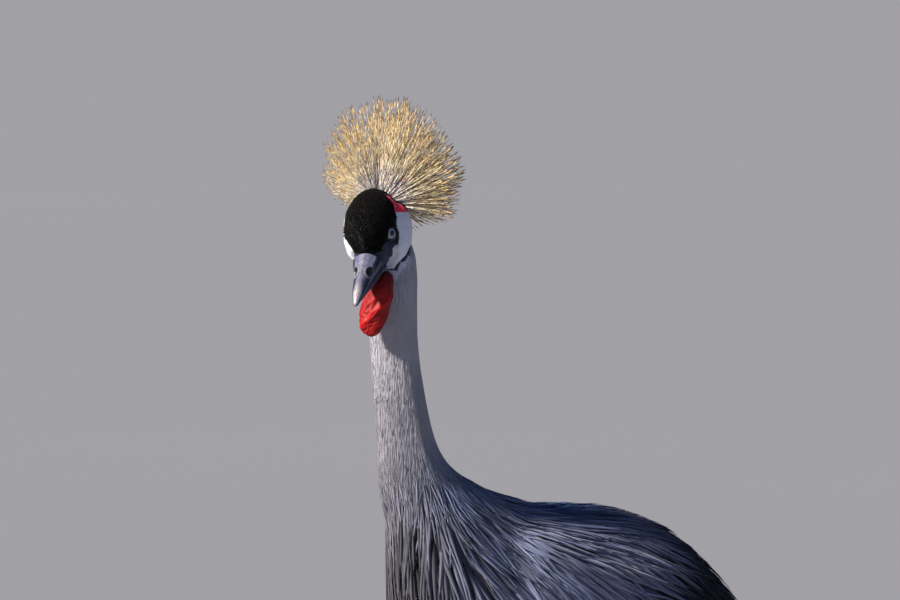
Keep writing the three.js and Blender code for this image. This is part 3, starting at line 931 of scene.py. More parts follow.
        # Painted shade between the feathers: the down is darkened, most on the body, beyond its own darker
        # grey
        body, neck = self.down_and_gap_shade
        share = body + (neck - body) * ramp(points[:, 2], 0.62, 0.76)
        marks = FIELD.tint(points) * share[:, None]
        colours = {
            Kind.VELVET: VELVET_BLACK,
            # Painted sheen and shade: the dark feathers of the lores and throat are coloured slate blue
            Kind.LORES: "#262d44",
            Kind.CHEEK: "#e9eaf2",
            Kind.RED: CHEEK_RED,
            Kind.SCALES: "#2b2a2d",
        }
        for kind, code in colours.items():
            marks[self.kinds == kind.value] = linear(code)
        write_attribute(self.obj, "mark", marks)
        local = HEAD.to_local(points)
        write_attribute(self.obj, "white_gap", FACE.gap(local, FACE.cheek))
        write_attribute(self.obj, "red_gap", FACE.gap(local, FACE.red))
        for finish in (
            # Dull skin and down, which shows only between the feathers; the dark there is partly the down's
            # own grey and partly painted shade
            SkinFinish("down_under_feathers", rough=0.9, mottle=0.25, pore_mm=1.2, bump=0.4),
            BareCheek("bare_cheek_skin", rough=0.55, mottle=0.06, pore_mm=0.8, bump=0.25, sheen=0.15),
            # Horny skin in small plates, which gives a broken, dull shine
            SkinFinish("leg_scale_skin", rough=0.48, mottle=0.35, pore_mm=2.2, bump=0.7, cells=True),
        ):
            self.obj.data.materials.append(finish.material())
        faces = self.obj.data.polygons
        slots = np.zeros(len(faces), np.int32)
        first = np.array([f.vertices[0] for f in faces])
        bare = np.isin(self.kinds, [Kind.CHEEK.value, Kind.RED.value])
        bare |= (self.kinds == Kind.VELVET.value) & (FACE.white(local) < 3.0)
        slots[bare[first]] = 1
        slots[self.kinds[first] == Kind.SCALES.value] = 2
        faces.foreach_set("material_index", slots)
        faces.foreach_set("use_smooth", np.ones(len(faces), bool))

    def survey(self) -> None:
        """Measures the finished skin for the plumage: triangles, smooth normals and a search tree."""
        self.triangles = triangles_of(self.obj)
        self.points = corners_of(self.obj)
        self.smooth = unit(relax(normals_of(self.obj), edges_of(self.obj), 4))
        self.tri_normals = unit(self.smooth[self.triangles].mean(axis=1))
        a, b, c = (self.points[self.triangles[:, k]] for k in range(3))
        self.tri_areas = np.linalg.norm(np.cross(b - a, c - a), axis=1) / 2
        self.tree = BVHTree.FromPolygons(self.points.tolist(), self.triangles.tolist())


@dataclass(frozen=True)
class SkinFinish:
    """A skin whose colour is its marking, with a fine mottle and pores.

    Roughness and IOR are typical of keratin; the pores are drawn coarse enough to show.
    """

    name: str
    rough: float
    mottle: float
    pore_mm: float
    bump: float
    sheen: float = 0.0
    cells: bool = False
    blotches: float = 180.0  # in a metre

    def colour(self, paint: Paint) -> Socket:
        """The marking's colour at each spot."""
        return paint.read("mark", "Color")

    def material(self) -> bpy.types.Material:
        """Makes the procedural material."""
        paint = Paint(self.name, Roughness=self.rough, IOR=KERATIN_IOR, Sheen_Weight=self.sheen)
        place = paint.place()
        blotch = paint.noise(place, self.blotches, 5.0)
        gain = paint.remap(blotch, NOISE_SPAN, (1.0 - self.mottle, 1.0 + self.mottle))
        if self.cells:
            settings = {"feature": "DISTANCE_TO_EDGE", "Scale": 1.0 / (self.pore_mm * MM), "Vector": place}
            pores = add_node(paint.tree, "ShaderNodeTexVoronoi", settings).outputs["Distance"]
        else:
            pores = paint.noise(place, 1.0 / (self.pore_mm * MM), 3.0)
        return paint.finish(self.colour(paint), gain, pores, self.bump, 0.3)


class BareCheek(SkinFinish):
    """Bare cheek skin: soft, matt and finely pored, so that it takes the light evenly."""

    def colour(self, paint: Paint) -> Socket:
        """White with red above it, and black outside both, with clean edges between them.

        Args:
            paint: The material in the making.

        Returns:
            The colour.
        """
        colour = (*linear(VELVET_BLACK), 1.0)
        for name, code in (("white_gap", "#e2e7f6"), ("red_gap", CHEEK_RED)):
            inside = paint.remap(paint.read(name), (0.2, -0.2), (0.0, 1.0))
            settings = {"data_type": "RGBA", 0: inside, 6: colour, 7: (*linear(code), 1.0)}
            colour = add_node(paint.tree, "ShaderNodeMix", settings).outputs[2]
        return colour


class Blade(Enum):
    """The outline of a feather."""

    HAIR = "hair"
    LANCE = "lance"
    ROUND = "round"
    FLIGHT = "flight"
    QUILL = "quill"

    def widths(self, along: np.ndarray) -> np.ndarray:
        """The width along the feather, as a share of its greatest width."""
        if self is Blade.HAIR:
            return np.minimum(1.0, 0.55 + 2.0 * along) * (1.0 - along**2.2) ** 0.7
        if self is Blade.LANCE:
            return np.minimum(1.0, 0.45 + 1.6 * along) * (1.0 - along**1.7) ** 0.9
        if self is Blade.ROUND:
            return np.minimum(1.0, 0.4 + 1.5 * along) * (1.0 - along**5.0) ** 0.6
        if self is Blade.QUILL:
            return 0.85 + 0.55 * ramp(along, 0.88, 0.93) - ramp(along, 0.95, 1.0)
        return np.minimum(1.0, 0.3 + 3.0 * along) * (1.0 - along**7.0) ** 0.6


# Cross-sections as (across, height), turning from the right edge over the top to the left edge
TUFT_SECTION = ((1.0, -0.35), (0.0, 1.0), (-1.0, -0.35))
QUILL_SECTION = ((1.0, 0.0), (0.0, 0.8), (-1.0, 0.0), (0.0, -0.8))
VANE_SECTION = (
    (1.0, -0.9),
    (0.55, 0.1),
    (0.07, 0.7),
    (0.0, 1.3),
    (-0.07, 0.7),
    (-0.55, 0.1),
    (-1.0, -0.9),
    (0.0, 0.2),
)


@dataclass(frozen=True)
class Vanes:
    """Many like feathers, as arrays that one mesh is made from."""

    centres: np.ndarray  # the midline of each, from root to tip, as feather, step and axis
    normals: np.ndarray  # the way that its upper face looks at each step
    widths_mm: np.ndarray  # its greatest width
    marks: np.ndarray  # its linear colour
    tones: np.ndarray  # its random shade, from -1 to 1
    charts: np.ndarray  # the place of its root on the unwrapped skin, from 0 to 1
    rolls: np.ndarray  # how far it is rolled about its midline, in radians at each step

    def build(
        self, name: str, blade: Blade, thickness: float, section: Sequence[Pair] = TUFT_SECTION
    ) -> bpy.types.Object:
        """Makes the mesh of all the feathers.

        Args:
            name: The piece's name.
            blade: The feathers' outline.
            thickness: Of a feather, as a share of its half width.
            section: Its cross-section, as (across, height).

        Returns:
            The new object, with the attributes mark, tone, along and across, and its bake map.
        """
        count, steps = self.centres.shape[:2]
        rings, around = steps - 1, len(section)
        along = np.linspace(0.0, 1.0, steps)
        tangent = unit(np.gradient(self.centres, axis=1))
        side = unit(np.cross(self.normals, tangent))
        up = np.cross(tangent, side)
        turn = self.rolls[..., None]
        side, up = side * np.cos(turn) + up * np.sin(turn), up * np.cos(turn) - side * np.sin(turn)
        half = self.widths_mm[:, None] * MM / 2 * blade.widths(along)[None]
        aside, height = np.array(section).T
        offset = (
            side[:, :rings, None] * aside[None, None, :, None]
            + up[:, :rings, None] * height[None, None, :, None] * thickness
        )
        ring_points = self.centres[:, :rings, None] + offset * half[:, :rings, None, None]
        corners = np.concatenate([ring_points.reshape(count, -1, 3), self.centres[:, -1:]], axis=1)
        obj = array_mesh(name, corners.reshape(-1, 3), self.faces_of(count, rings, around))
        across, lift = (np.append(np.tile(part, rings), 0.0) for part in (aside, height))
        where = np.append(np.repeat(along[:rings], around), 1.0)
        write_attribute(obj, "mark", np.repeat(self.marks, len(across), axis=0))
        write_attribute(obj, "tone", np.repeat(self.tones, len(across)))
        write_attribute(obj, "along", np.tile(where, count))
        write_attribute(obj, "across", np.tile(across, count))
        chart = np.stack([across * 0.5, where + lift * 0.04], axis=1) * PATCH
        flat = (self.charts[:, None] + chart[None]).reshape(-1, 2)
        loops = read_values(obj.data.loops, "vertex_index", 1, np.int32)[:, 0]
        layer = obj.data.uv_layers.new(name=BAKE_MAP)
        layer.data.foreach_set("uv", flat[loops].astype(np.float32).ravel())
        return obj

    @staticmethod
    def faces_of(count: int, rings: int, around: int) -> list[np.ndarray]:
        """The faces of closed feathers with the same number of rings.

        Args:
            count: How many feathers there are.
            rings: The rings of each, without its tip.
            around: The corners of a ring.

        Returns:
            The quads of the sides, the triangles at the tips and the root caps.
        """
        size = rings * around + 1
        first = np.arange(count)[:, None, None] * size
        ring = np.arange(rings - 1)[None, :, None] * around
        here = np.arange(around)[None, None]
        after = (here + 1) % around
        base = first + ring
        quads = np.stack([base + here, base + after, base + after + around, base + here + around], axis=-1)
        last = first + (rings - 1) * around
        tip = np.broadcast_to(first + size - 1, (count, 1, around))
        tips = np.stack([last + here, last + after, tip], axis=-1)
        caps = first[:, 0] + np.arange(around)[::-1][None]
        return [quads.reshape(-1, 4), tips.reshape(-1, 3), caps]


@dataclass(frozen=True)
class FeatherFinish:
    """Feather keratin: dull with a soft sheen, darker at the root from its downy base and from painted shade
    under the overlapping feathers, and streaked along by its barbs.
    """

    name: str
    rough: float = 0.62
    sheen: float = 0.25
    root_down_and_shade: float = 0.5  # brightness at the root, next to 1 at the tip: the down's own grey and painted shade under the overlapping feathers
    vary: float = 0.14  # from one feather to the next
    streak: float = 0.22  # between the barbs of one feather
    edge: float = 0.12  # how much lighter the loose edges are
    streaks: float = 2.2  # barb streaks over half a feather's width
    tip_shade: float = 1.0  # brightness of the last fifth
    shine: float = 0.3
    through: float = 0.0  # how much light passes through a loose feather
    relief: float = 0.35  # of the barbs

    def material(self) -> bpy.types.Material:
        """Makes the procedural material."""
        paint = Paint(
            self.name,
            Roughness=self.rough,
            IOR=KERATIN_IOR,
            Sheen_Weight=self.sheen,
            Sheen_Roughness=0.45,
            Specular_IOR_Level=self.shine,
            Subsurface_Weight=self.through,
            Subsurface_Radius=(0.003, 0.003, 0.003),
        )
        along, across, tone = (paint.read(name) for name in ("along", "across", "tone"))
        scales = ((across, self.streaks), (along, 1.3), (tone, 53.0))
        lie = paint.vector(*(paint.times(part, scale) for part, scale in scales))
        barbs = paint.noise(lie, 1.0, 3.0, 0.6)
        settings = {"operation": "ABSOLUTE", 0: across}
        to_edge = add_node(paint.tree, "ShaderNodeMath", settings).outputs["Value"]
        # Painted shade under the overlapping feathers, with the down's own darker grey, darkens each root
        gain = paint.remap(along, (0.0, 0.55), (self.root_down_and_shade, 1.0), smooth=True)
        for value, given, result in (
            (barbs, NOISE_SPAN, (1.0 - self.streak, 1.0 + self.streak)),
            (tone, (-1.0, 1.0), (1.0 - self.vary, 1.0 + self.vary)),
            (along, (0.78, 1.0), (1.0, self.tip_shade)),
            (to_edge, (0.4, 1.0), (1.0, 1.0 + self.edge)),
        ):
            gain = paint.times(gain, paint.remap(value, given, result))
        return paint.finish(paint.read("mark", "Color"), gain, barbs, self.relief, 0.25)


@dataclass(frozen=True)
class Tract:
    """One tract of feathers: where it grows, how thick it stands and how it is finished."""

    name: str
    slot: str
    blade: Blade
    steps: int
    cover: float  # how many feathers lie over each spot
    finish: FeatherFinish
    sway: float  # degrees that one feather strays from the lie
    thickness: float = 0.2  # of a feather, as a share of its half width
    tint: str | None = None  # a colour of its own
    sizes_mm: Triple | None = None  # length, width and depth, in place of the field's
    spacing_mm: float | None = None  # between roots, in place of the cover
    widen: float = 1.0  # of the field's feather width
    lift: float = 1.0  # of the field's coat depth
    unrest: float = 1.0  # how unevenly the feathers lie, next to the body's
    sink_mm: float = 0.6  # how deep the roots start under the skin

    @property
    def velvet(self) -> bool:
        """True for the short plush of the head."""
        return self.slot == "cap_velvet"

    def sizes(self, points: np.ndarray) -> np.ndarray:
        """Length, width and coat depth in millimetres of the feathers at each place."""
        if self.sizes_mm:
            return np.tile(self.sizes_mm, (len(points), 1))
        return FIELD.size(points) * (1.0, self.widen, self.lift)

    def spacing(self, points: np.ndarray) -> np.ndarray:
        """The distance between roots in millimetres at each place."""
        if self.spacing_mm:
            return np.full(len(points), self.spacing_mm)
        size = self.sizes(points)
        return np.sqrt(size[:, 0] * size[:, 1] / self.cover)


class Plumage:
    """Lays the tracts of feathers on the skin."""

    cell_step: float = 1.3  # from one size of cell that holds a single root to the next
    bare_lids: float = 50.0  # degrees from the eye's axis within which no plush grows
    neck_foot: float = 0.70  # the regions' limits are heights in metres
    belly_top: float = 0.56
    rust_top: float = 0.545
    white_top: float = 0.57
    neck_split: float = 0.822  # the neck's coat is two pieces, above and below this
    mantle_depth: float = 0.085  # under the back's top line, in metres
    white_depth: float = 0.07
    shoulder_x: Pair = (0.02, 0.14)  # from where to where the scapular plumes grow
    straw_x: Pair = (-0.16, 0.05)  # and the straw-coloured ones
    breast_from: float = 0.105  # the breast's plumes grow ahead of this, in metres

    def __init__(self, skin: Skin, seed: int) -> None:
        """Takes the skin that the feathers grow on.

        Args:
            skin: The surveyed skin.
            seed: The start of the random draws.
        """
        self.skin = skin
        self.rng = np.random.default_rng(seed)

    def way(self, points: np.ndarray, velvet: bool) -> np.ndarray:
        """The lie of the feathers, back from the bill on the velvet and by the field elsewhere."""
        if not velvet:
            return FIELD.way(points)
        local = HEAD.to_local(points)
        aside = np.clip(local[:, 1] / 18.0, -1.0, 1.0)
        droop = np.stack([-np.ones(len(local)), 0.25 * aside, -0.4 * aside**2], axis=1)
        droop[:, 2] -= 0.5 * ramp(-local[:, 2], 0.0, 16.0)
        return unit(droop @ HEAD.axes.T)

    def roots(self, tract: Tract, mask: np.ndarray) -> tuple[np.ndarray, np.ndarray]:
        """Scatters a tract's roots evenly over part of the skin.

        Args:
            tract: What grows.
            mask: True for the skin's triangles that carry it.

        Returns:
            The roots' places and the numbers of their triangles.
        """
        skin = self.skin
        own = np.flatnonzero(mask)
        middles = skin.points[skin.triangles[own]].mean(axis=1)
        wanted = skin.tri_areas[own] / (tract.spacing(middles) * MM) ** 2 * 3.0
        total = int(wanted.sum())
        picks = own[np.searchsorted(np.cumsum(wanted) / wanted.sum(), self.rng.random(total))]
        a, b = self.rng.random((2, total))
        over = a + b > 1.0
        a[over], b[over] = 1.0 - a[over], 1.0 - b[over]
        p, q, r = (skin.points[skin.triangles[picks, k]] for k in range(3))
        places = p + (q - p) * a[:, None] + (r - p) * b[:, None]
        gap = tract.spacing(places) * MM
        level = np.round(np.log(gap) / np.log(self.cell_step)).astype(int)
        cell = np.floor(places / (self.cell_step**level)[:, None]).astype(int)
        keys = np.concatenate([level[:, None], cell], axis=1)
        _, kept = np.unique(keys, axis=0, return_index=True)
        kept.sort()
        return places[kept], picks[kept]

    def comb(
        self,
        tract: Tract,
        places: np.ndarray,
        picks: np.ndarray,
        lengths_mm: np.ndarray,
        depths_mm: np.ndarray,
    ) -> tuple[np.ndarray, np.ndarray]:
        """Runs each feather's midline over the skin.

        Args:
            tract: What grows.
            places: The roots.
            picks: The triangles that they are on.
            lengths_mm: The feathers' lengths.
            depths_mm: How far each tip stands over the skin.

        Returns:
            The midlines and their normals, as feather, step and axis.
        """
        skin = self.skin
        count = len(places)
        here, normal = places.copy(), skin.tri_normals[picks]
        stray = np.radians(self.rng.normal(0.0, tract.sway, count))[:, None]
        last, sink = tract.steps - 1, tract.sink_mm
        pace = (lengths_mm * MM / last)[:, None]
        centres, ups = [], []
        rise = 0.75 + tract.unrest * self.rng.uniform(-0.25, 0.2, count)
        for k in range(tract.steps):
            lift = (-sink + (depths_mm * rise + sink) * (k / last) ** 0.8) * MM
            centres.append(here + normal * lift[:, None])
            ups.append(normal)
            if k == last:
                break
            way = self.way(here, tract.velvet)
            way = unit(way - (way * normal).sum(axis=1, keepdims=True) * normal)
            way = way * np.cos(stray) + np.cross(normal, way) * np.sin(stray)
            ahead = here + way * pace
            hits = [skin.tree.find_nearest(Vector(p)) for p in ahead.tolist()]
            here = np.array([hit[0] for hit in hits])
            normal = skin.tri_normals[np.array([hit[2] for hit in hits])]
        return np.stack(centres, axis=1), np.stack(ups, axis=1)

    @staticmethod
    def chart(places: np.ndarray) -> np.ndarray:
        """Unwraps the skin's own shape: round the neck's upright axis, and round the trunk's level one.

        Args:
            places: Roots on the skin.

        Returns:
            Their places on the unwrap, from 0 to 1.
        """
        # The neck fills the top of the unwrap, the trunk its middle and the legs its lower left
        x, y, z = places.T
        axis = 0.19 + 0.03 * ramp(z, 0.68, 0.72)
        round_neck = np.arctan2(y, axis - x) / math.tau + 0.5
        round_trunk = np.arctan2(y, z - 0.55) / math.tau + 0.5
        upright = z > 0.70
        across = np.where(upright, round_neck, round_trunk)
        down = np.where(upright, 0.70 + 0.29 * (z - 0.70) / 0.27, 0.69 * (x + 0.32) / 0.60)
        low = z < 0.44
        across = np.where(low, 0.02 + 0.3 * across, across)
        down = np.where(low, 0.02 + 0.9 * z / 0.46, down)
        return np.clip(np.stack([across, down], axis=1), 0.0, 0.99)

    def lay(self, tract: Tract, mask: np.ndarray) -> bpy.types.Object:
        """Grows one tract and finishes it.

        Args:
            tract: What grows.
            mask: True for the skin's triangles that carry it.

        Returns:
            The tract's object.
        """
        places, picks = self.roots(tract, mask)
        size = tract.sizes(places)
        count = len(places)
        lengths = size[:, 0] * self.rng.uniform(0.78, 1.12, count)
        if tract.velvet:
            # Short enough beside the bare cheek that no feather lies over it
            lengths = np.minimum(lengths, np.maximum(0.7, 0.2 + 0.8 * FACE.white(HEAD.to_local(places))))
        centres, normals = self.comb(tract, places, picks, lengths, size[:, 2])
        marks = np.tile(linear(tract.tint), (count, 1)) if tract.tint else FIELD.tint(places)
        rolls = np.repeat(self.rng.normal(0.0, 0.16 * tract.unrest, (count, 1)), tract.steps, axis=1)
        widths = size[:, 1] * self.rng.uniform(0.8, 1.15, count)
        tones = self.rng.uniform(-1, 1, count)
        vanes = Vanes(centres, normals, widths, marks, tones, self.chart(places), rolls)
        obj = vanes.build(tract.name, tract.blade, tract.thickness)
        return own_piece(obj, (), tract.finish.material())

    def regions(self) -> dict[str, np.ndarray]:
        """Says where each tract grows.

        Returns:
            By the tract's name, True for the skin's triangles that carry it.
        """
        skin = self.skin
        middles = skin.points[skin.triangles].mean(axis=1)
        owners = skin.owners[skin.triangles[:, 0]]
        kinds = skin.kinds[skin.triangles[:, 0]]
        local = HEAD.to_local(middles)

        def on(*names: str) -> np.ndarray:
            """True for the triangles that lie on these nodes."""
            return np.isin(owners, [FLESH.index(n) for n in names])

        from_eye = EYE.offset(local)
        in_lids = np.linalg.norm(from_eye, axis=1) < 1.5 * EYE.radius_mm
        in_lids &= unit(from_eye) @ EYE.on(1.0)[1] > math.cos(math.radians(self.bare_lids))
        depth = below_back(middles)
        x, aside, z = middles[:, 0], np.abs(middles[:, 1]), middles[:, 2]
        plumed = kinds == Kind.PLUMAGE.value
        beside = FACE.white(local) > 0.35
        neck = plumed & on(*NECK_NODES, *HEAD_NODES) & (z > self.neck_foot)
        body = plumed & on("trunk", *NECK_NODES) & (z <= self.neck_foot)
        fore = body & (x > self.breast_from)
        rump = body & ~fore
        wing, tertials = on(*WING_NODES), on(*TERTIAL_NODES)
        shown, high = z > self.rust_top, z > self.neck_split
        mantle = (wing & ((depth < self.mantle_depth) | shown)) | (tertials & shown)
        return {
            "coat_velvet": (kinds == Kind.VELVET.value) & ~in_lids & beside & ~on("neck_upper"),
            "coat_lores": (kinds == Kind.LORES.value) & ~in_lids & beside,
            "coat_neck_upper": neck & high,
            "coat_neck_lower": neck & ~high,
            "coat_breast": fore,
            "coat_mantle": mantle | (rump & (z > self.belly_top)),
            "coat_belly": rump & (z <= self.belly_top),
            "coat_thighs": plumed & on(*THIGH_NODES),
            "coat_coverts": wing & (depth >= self.white_depth) & (z < self.white_top),
            "coat_tertials": tertials & ~shown,
            "plumes_scapular": (wing | body) & (depth < 0.10) & (aside > 0.035) & within(x, self.shoulder_x),
            "plumes_straw": wing & (z < 0.555) & (depth < 0.14) & within(x, self.straw_x),
        }

    def grow(self) -> None:
        """Grows every tract, from the face to the tail."""
        # Roughness, sheen, painted shade and down's grey at the root, and how much each feather, its barbs
        # and its edges differ
        plush = FeatherFinish("cap_velvet_plush", 0.9, 0.03, 0.6, 0.25, 0.3, 0.1, shine=0.06)
        short = FeatherFinish("lores_short_plush", 0.6, 0.2, 0.85, 0.12, 0.15, 0.1)
        hair = FeatherFinish(
            "neck_hair_feathers", 0.7, 0.3, 0.97, 0.06, 0.06, 0.03, shine=0.15, through=0.7, relief=0.08
        )
        plume = FeatherFinish("breast_lance_plumes", 0.65, 0.15, 0.12, 0.5, 0.22, 0.25, shine=0.15)
        slate = FeatherFinish("slate_back_feathers", 0.62, 0.05, 0.6, 0.2, 0.18, 0.06, shine=0.1)
        scapular = FeatherFinish("scapular_plumes", 0.62, 0.1, 0.5, 0.42, 0.26, 0.2, shine=0.15)
        soft = FeatherFinish("belly_feathers", 0.65, 0.3, 0.5, 0.12, 0.2, 0.1)
        clean = FeatherFinish("white_coverts", 0.6, 0.25, 0.72, 0.06, 0.1, 0.05)
        straw = FeatherFinish("straw_plumes", 0.55, 0.25, 0.75, 0.2, 0.25, 0.1)
        rufous = FeatherFinish("chestnut_tertials", 0.6, 0.3, 0.45, 0.25, 0.3, 0.2, 3.0, 0.6)

        cap, grey, back = "cap_velvet", "feather_neck", "feather_back"
        pale, rust, gold = "feather_white", "feather_chestnut", "crest_bristle"
        thin, lance, oval = Blade.HAIR, Blade.LANCE, Blade.ROUND
        calm = {"widen": 0.62, "lift": 0.22, "unrest": 0.1, "sink_mm": 0.15}
        upper_neck = Tract("coat_neck_upper", grey, thin, 5, 10.0, hair, 2, 0.06, **calm)
        wide, loose, long, longest = (52.0, 12.0, 6.0), (84.0, 9.0, 7.0), (96.0, 7.5, 7.5), (115.0, 3.2, 9.0)
        regions = self.regions()
        for tract in (
            Tract("coat_velvet", cap, thin, 4, 7, plush, 10, 0.4, "#020203", (4.4, 0.9, 1.5), 1.1),
            # Painted sheen and shade: the lores' and throat's dark plush is tinted slate blue
            Tract("coat_lores", cap, thin, 4, 7, short, 8, 0.3, "#2f3854", (3.0, 0.9, 0.8), 1.15),
            upper_neck,
            replace(upper_neck, name="coat_neck_lower"),
            Tract("coat_breast", grey, lance, 8, 8.0, plume, 7),
            Tract("coat_mantle", back, lance, 7, 9.0, slate, 6, 0.18),
            Tract("coat_belly", back, oval, 5, 6.0, soft, 9, 0.16),
            Tract("coat_thighs", back, lance, 5, 8.0, soft, 9),
            Tract("coat_coverts", pale, oval, 5, 7.0, clean, 5, 0.12, "#ebe8df", wide),
            Tract("coat_tertials", rust, lance, 7, 9.0, rufous, 7, 0.2, "#6d3423", loose),
            Tract("plumes_scapular", back, lance, 9, 3.0, scapular, 5, 0.22, None, long),
            Tract("plumes_straw", gold, lance, 10, 0.8, straw, 7, 0.3, "#d3b170", longest),
        ):
            self.lay(tract, regions[tract.name])


@dataclass(frozen=True)
class BristleFinish:
    """Crest bristle: a stiff twisted quill, whitish at the root, straw-gold along and dark at the tip."""

    name: str = "crest_bristle_quill"
    stops: tuple[tuple[float, str], ...] = (
        (0.0, "#fffaf8"),
        (0.30, "#fdf4ee"),
        (0.42, "#f9e9cc"),
        (0.72, "#f3dcae"),
        (0.93, "#dfc18a"),
        (0.965, "#38250f"),
    )

    def material(self) -> bpy.types.Material:
        """Makes the procedural material."""
        radius = (0.004, 0.003, 0.002)
        paint = Paint(
            self.name, Roughness=0.45, IOR=KERATIN_IOR, Subsurface_Weight=0.45, Subsurface_Radius=radius
        )
        along, tone = paint.read("along"), paint.read("tone")
        lie = paint.vector(paint.times(along, 26.0), paint.times(tone, 31.0))
        fleck = paint.remap(paint.noise(lie, 1.0, 2.0), NARROW_SPAN, (0.5, 1.4))
        gain = paint.times(fleck, paint.remap(tone, (-1.0, 1.0), (0.88, 1.15)))
        return paint.finish(paint.bands(along, self.stops), gain)


@dataclass
class Crest:
    """The fan of stiff bristles that spring from the back of the crown."""

    focus_mm: Triple = (-34.0, 3.0, 13.0)
    axis: Triple = (-0.583, 0.306, 0.747)
    reach_mm: tuple[float, ...] = (107, 105, 95, 86, 75, 67, 53, 44)  # from the axis to the rim
    spread: float = 122.0  # degrees from the axis to the rim
    back: Triple = (-1.0, 0.0, -0.4)  # bristles grow on this side of the crown
    # How much shorter than that the bristles are on the bird's left, and longer on its right
    lopside_mm: tuple[float, ...] = (4, 11, 6, -4, -5, -7, -4, -3)
    bristles: int = 1480
    width_mm: float = 0.86
    straw: str = "#dcbc82"
    seed: int = 11
    steps: int = 17
    patch_mm: float = 8.0  # radius of the patch of skin that they grow from

    def directions(self, rng: np.random.Generator) -> tuple[np.ndarray, np.ndarray]:
        """Spreads directions over the dome, on the head's axes.

        Args:
            rng: The random draws.

        Returns:
            The directions, and the angle of each from the crest's axis in degrees.
        """
        axis = unit(np.array(self.axis))
        first = unit(np.cross(axis, (0.0, 1.0, 0.0)))
        second = np.cross(axis, first)
        tries = self.bristles * 4
        rim = math.cos(math.radians(self.spread))
        up = 1.0 - (np.arange(tries) + rng.random(tries)) / tries * (1.0 - rim)
        turn = np.arange(tries) * math.pi * (3.0 - math.sqrt(5.0)) + rng.normal(0.0, 0.1, tries)
        flat = np.sqrt(1.0 - up**2)[:, None]
        ways = axis * up[:, None] + flat * (first * np.cos(turn)[:, None] + second * np.sin(turn)[:, None])
        sparse = rng.random(tries) < 1.15 - 0.7 * ramp(np.degrees(np.arccos(up)), 70.0, 120.0)
        kept = (ways @ unit(np.array(self.back)) > 0.0) & sparse
        ways, up = ways[kept], up[kept]
        picks = np.sort(rng.choice(len(ways), min(self.bristles, len(ways)), replace=False))
        return ways[picks], np.degrees(np.arccos(up[picks]))

    def build(self, skin: Skin) -> bpy.types.Object:
        """Makes the bristles, which stand for the crest's node.

        Args:
            skin: The surveyed skin, which no bristle runs through.

        Returns:
            The crest's object.
        """
        rng = np.random.default_rng(self.seed)
        ways, angles = self.directions(rng)
        count = len(ways)
        marks_at = np.linspace(0, self.spread, len(self.reach_mm))
        reach = np.interp(angles, marks_at, self.reach_mm)
        reach -= np.interp(angles, marks_at, self.lopside_mm) * ways[:, 1]
        reach *= 1.0 - 0.24 * rng.random(count) ** 1.7
        axis = unit(np.array(self.axis))
        aside = ways - (ways @ axis)[:, None] * axis
        roots = np.array(self.focus_mm) + aside * self.patch_mm * rng.uniform(0.4, 1.0, (count, 1)) ** 0.5
        tips = np.array(self.focus_mm) + ways * reach[:, None]
        t = np.linspace(0.0, 1.0, self.steps)[None, :, None]
        bend = unit(np.cross(ways, rng.normal(size=(count, 3)))) * reach[:, None]
        bend *= rng.normal(0.0, 0.02, (count, 1))
        line = roots[:, None] + (tips - roots)[:, None] * t + bend[:, None] * (4 * t * (1 - t))
        normal = np.repeat(unit(np.cross(ways, (0.31, 0.2, 0.93)))[:, None], self.steps, axis=1)
        twist = rng.uniform(0, math.tau, (count, 1)) + np.linspace(0, 1, self.steps)[None] * math.pi * 5.0
        centres = HEAD.to_world(line.reshape(-1, 3)).reshape(line.shape)
        free = self.clear_of(skin, centres)
        normals = (normal.reshape(-1, 3) @ HEAD.axes.T).reshape(normal.shape)
        outward = np.clip(angles / self.spread, 0.0, 1.0)
        round_axis = np.arctan2(ways[:, 1], ways[:, 0]) / math.tau + 0.5
        charts = np.stack([round_axis, outward], axis=1) * 0.96
        widths = self.width_mm * rng.uniform(0.75, 1.15, count)
        marks = np.tile(linear(self.straw), (count, 1))
        tones = rng.uniform(-1, 1, count)
        parts = (centres, normals, widths, marks, tones, charts, twist)
        vanes = Vanes(*(part[free] for part in parts))
        obj = vanes.build("crest_bristles", Blade.QUILL, 0.55, QUILL_SECTION)
        return own_piece(obj, ["crest"], BristleFinish().material())

    def clear_of(self, skin: Skin, centres: np.ndarray) -> np.ndarray:
        """True for the bristles whose outer part stays out of the skin."""
        free = np.ones(len(centres), bool)
        for step in range(self.steps // 3, self.steps, 2):
            for number in np.flatnonzero(free):
                spot = Vector(centres[number, step])
                near, normal, _, _ = skin.tree.find_nearest(spot)
                free[number] = (spot - near).dot(normal) > -0.5 * MM
        return free


def remeshed(name: str, nodes: Sequence[str], voxel_mm: float, rounds: int) -> bpy.types.Object:
    """A fine, evened copy of some CAD nodes.

    Args:
        name: The piece's name.
        nodes: The nodes to copy.
        voxel_mm: The size of its faces.
        rounds: How often it is smoothed.

    Returns:
        The new object.
    """
    corners, triangles, _ = cad_arrays(nodes)
    obj = array_mesh(name, corners, [triangles])
    apply_modifier(obj, "REMESH", mode="VOXEL", voxel_size=voxel_mm * MM)
    apply_modifier(obj, "SMOOTH", factor=0.5, iterations=rounds)
    obj.data.polygons.foreach_set("use_smooth", np.ones(len(obj.data.polygons), bool))
    return obj


@dataclass(frozen=True)
class HornFinish:
    """Bill and claw horn: smooth and slightly waxy, with fine growth lines along it."""

    name: str
    rough: float = 0.38
    line_mm: float = 0.7

    def material(self) -> bpy.types.Material:
        """Makes the procedural material."""
        paint = Paint(self.name, Roughness=self.rough, IOR=KERATIN_IOR, Coat_Weight=0.15, Coat_Roughness=0.3)
        place = paint.place()
        gain = paint.remap(paint.noise(place, 260.0, 6.0), NOISE_SPAN, (0.7, 1.3))
        lines = paint.noise(place, 1.0 / (self.line_mm * MM), 2.0)
        return paint.finish(paint.read("mark", "Color"), gain, lines, 0.2, 0.2)


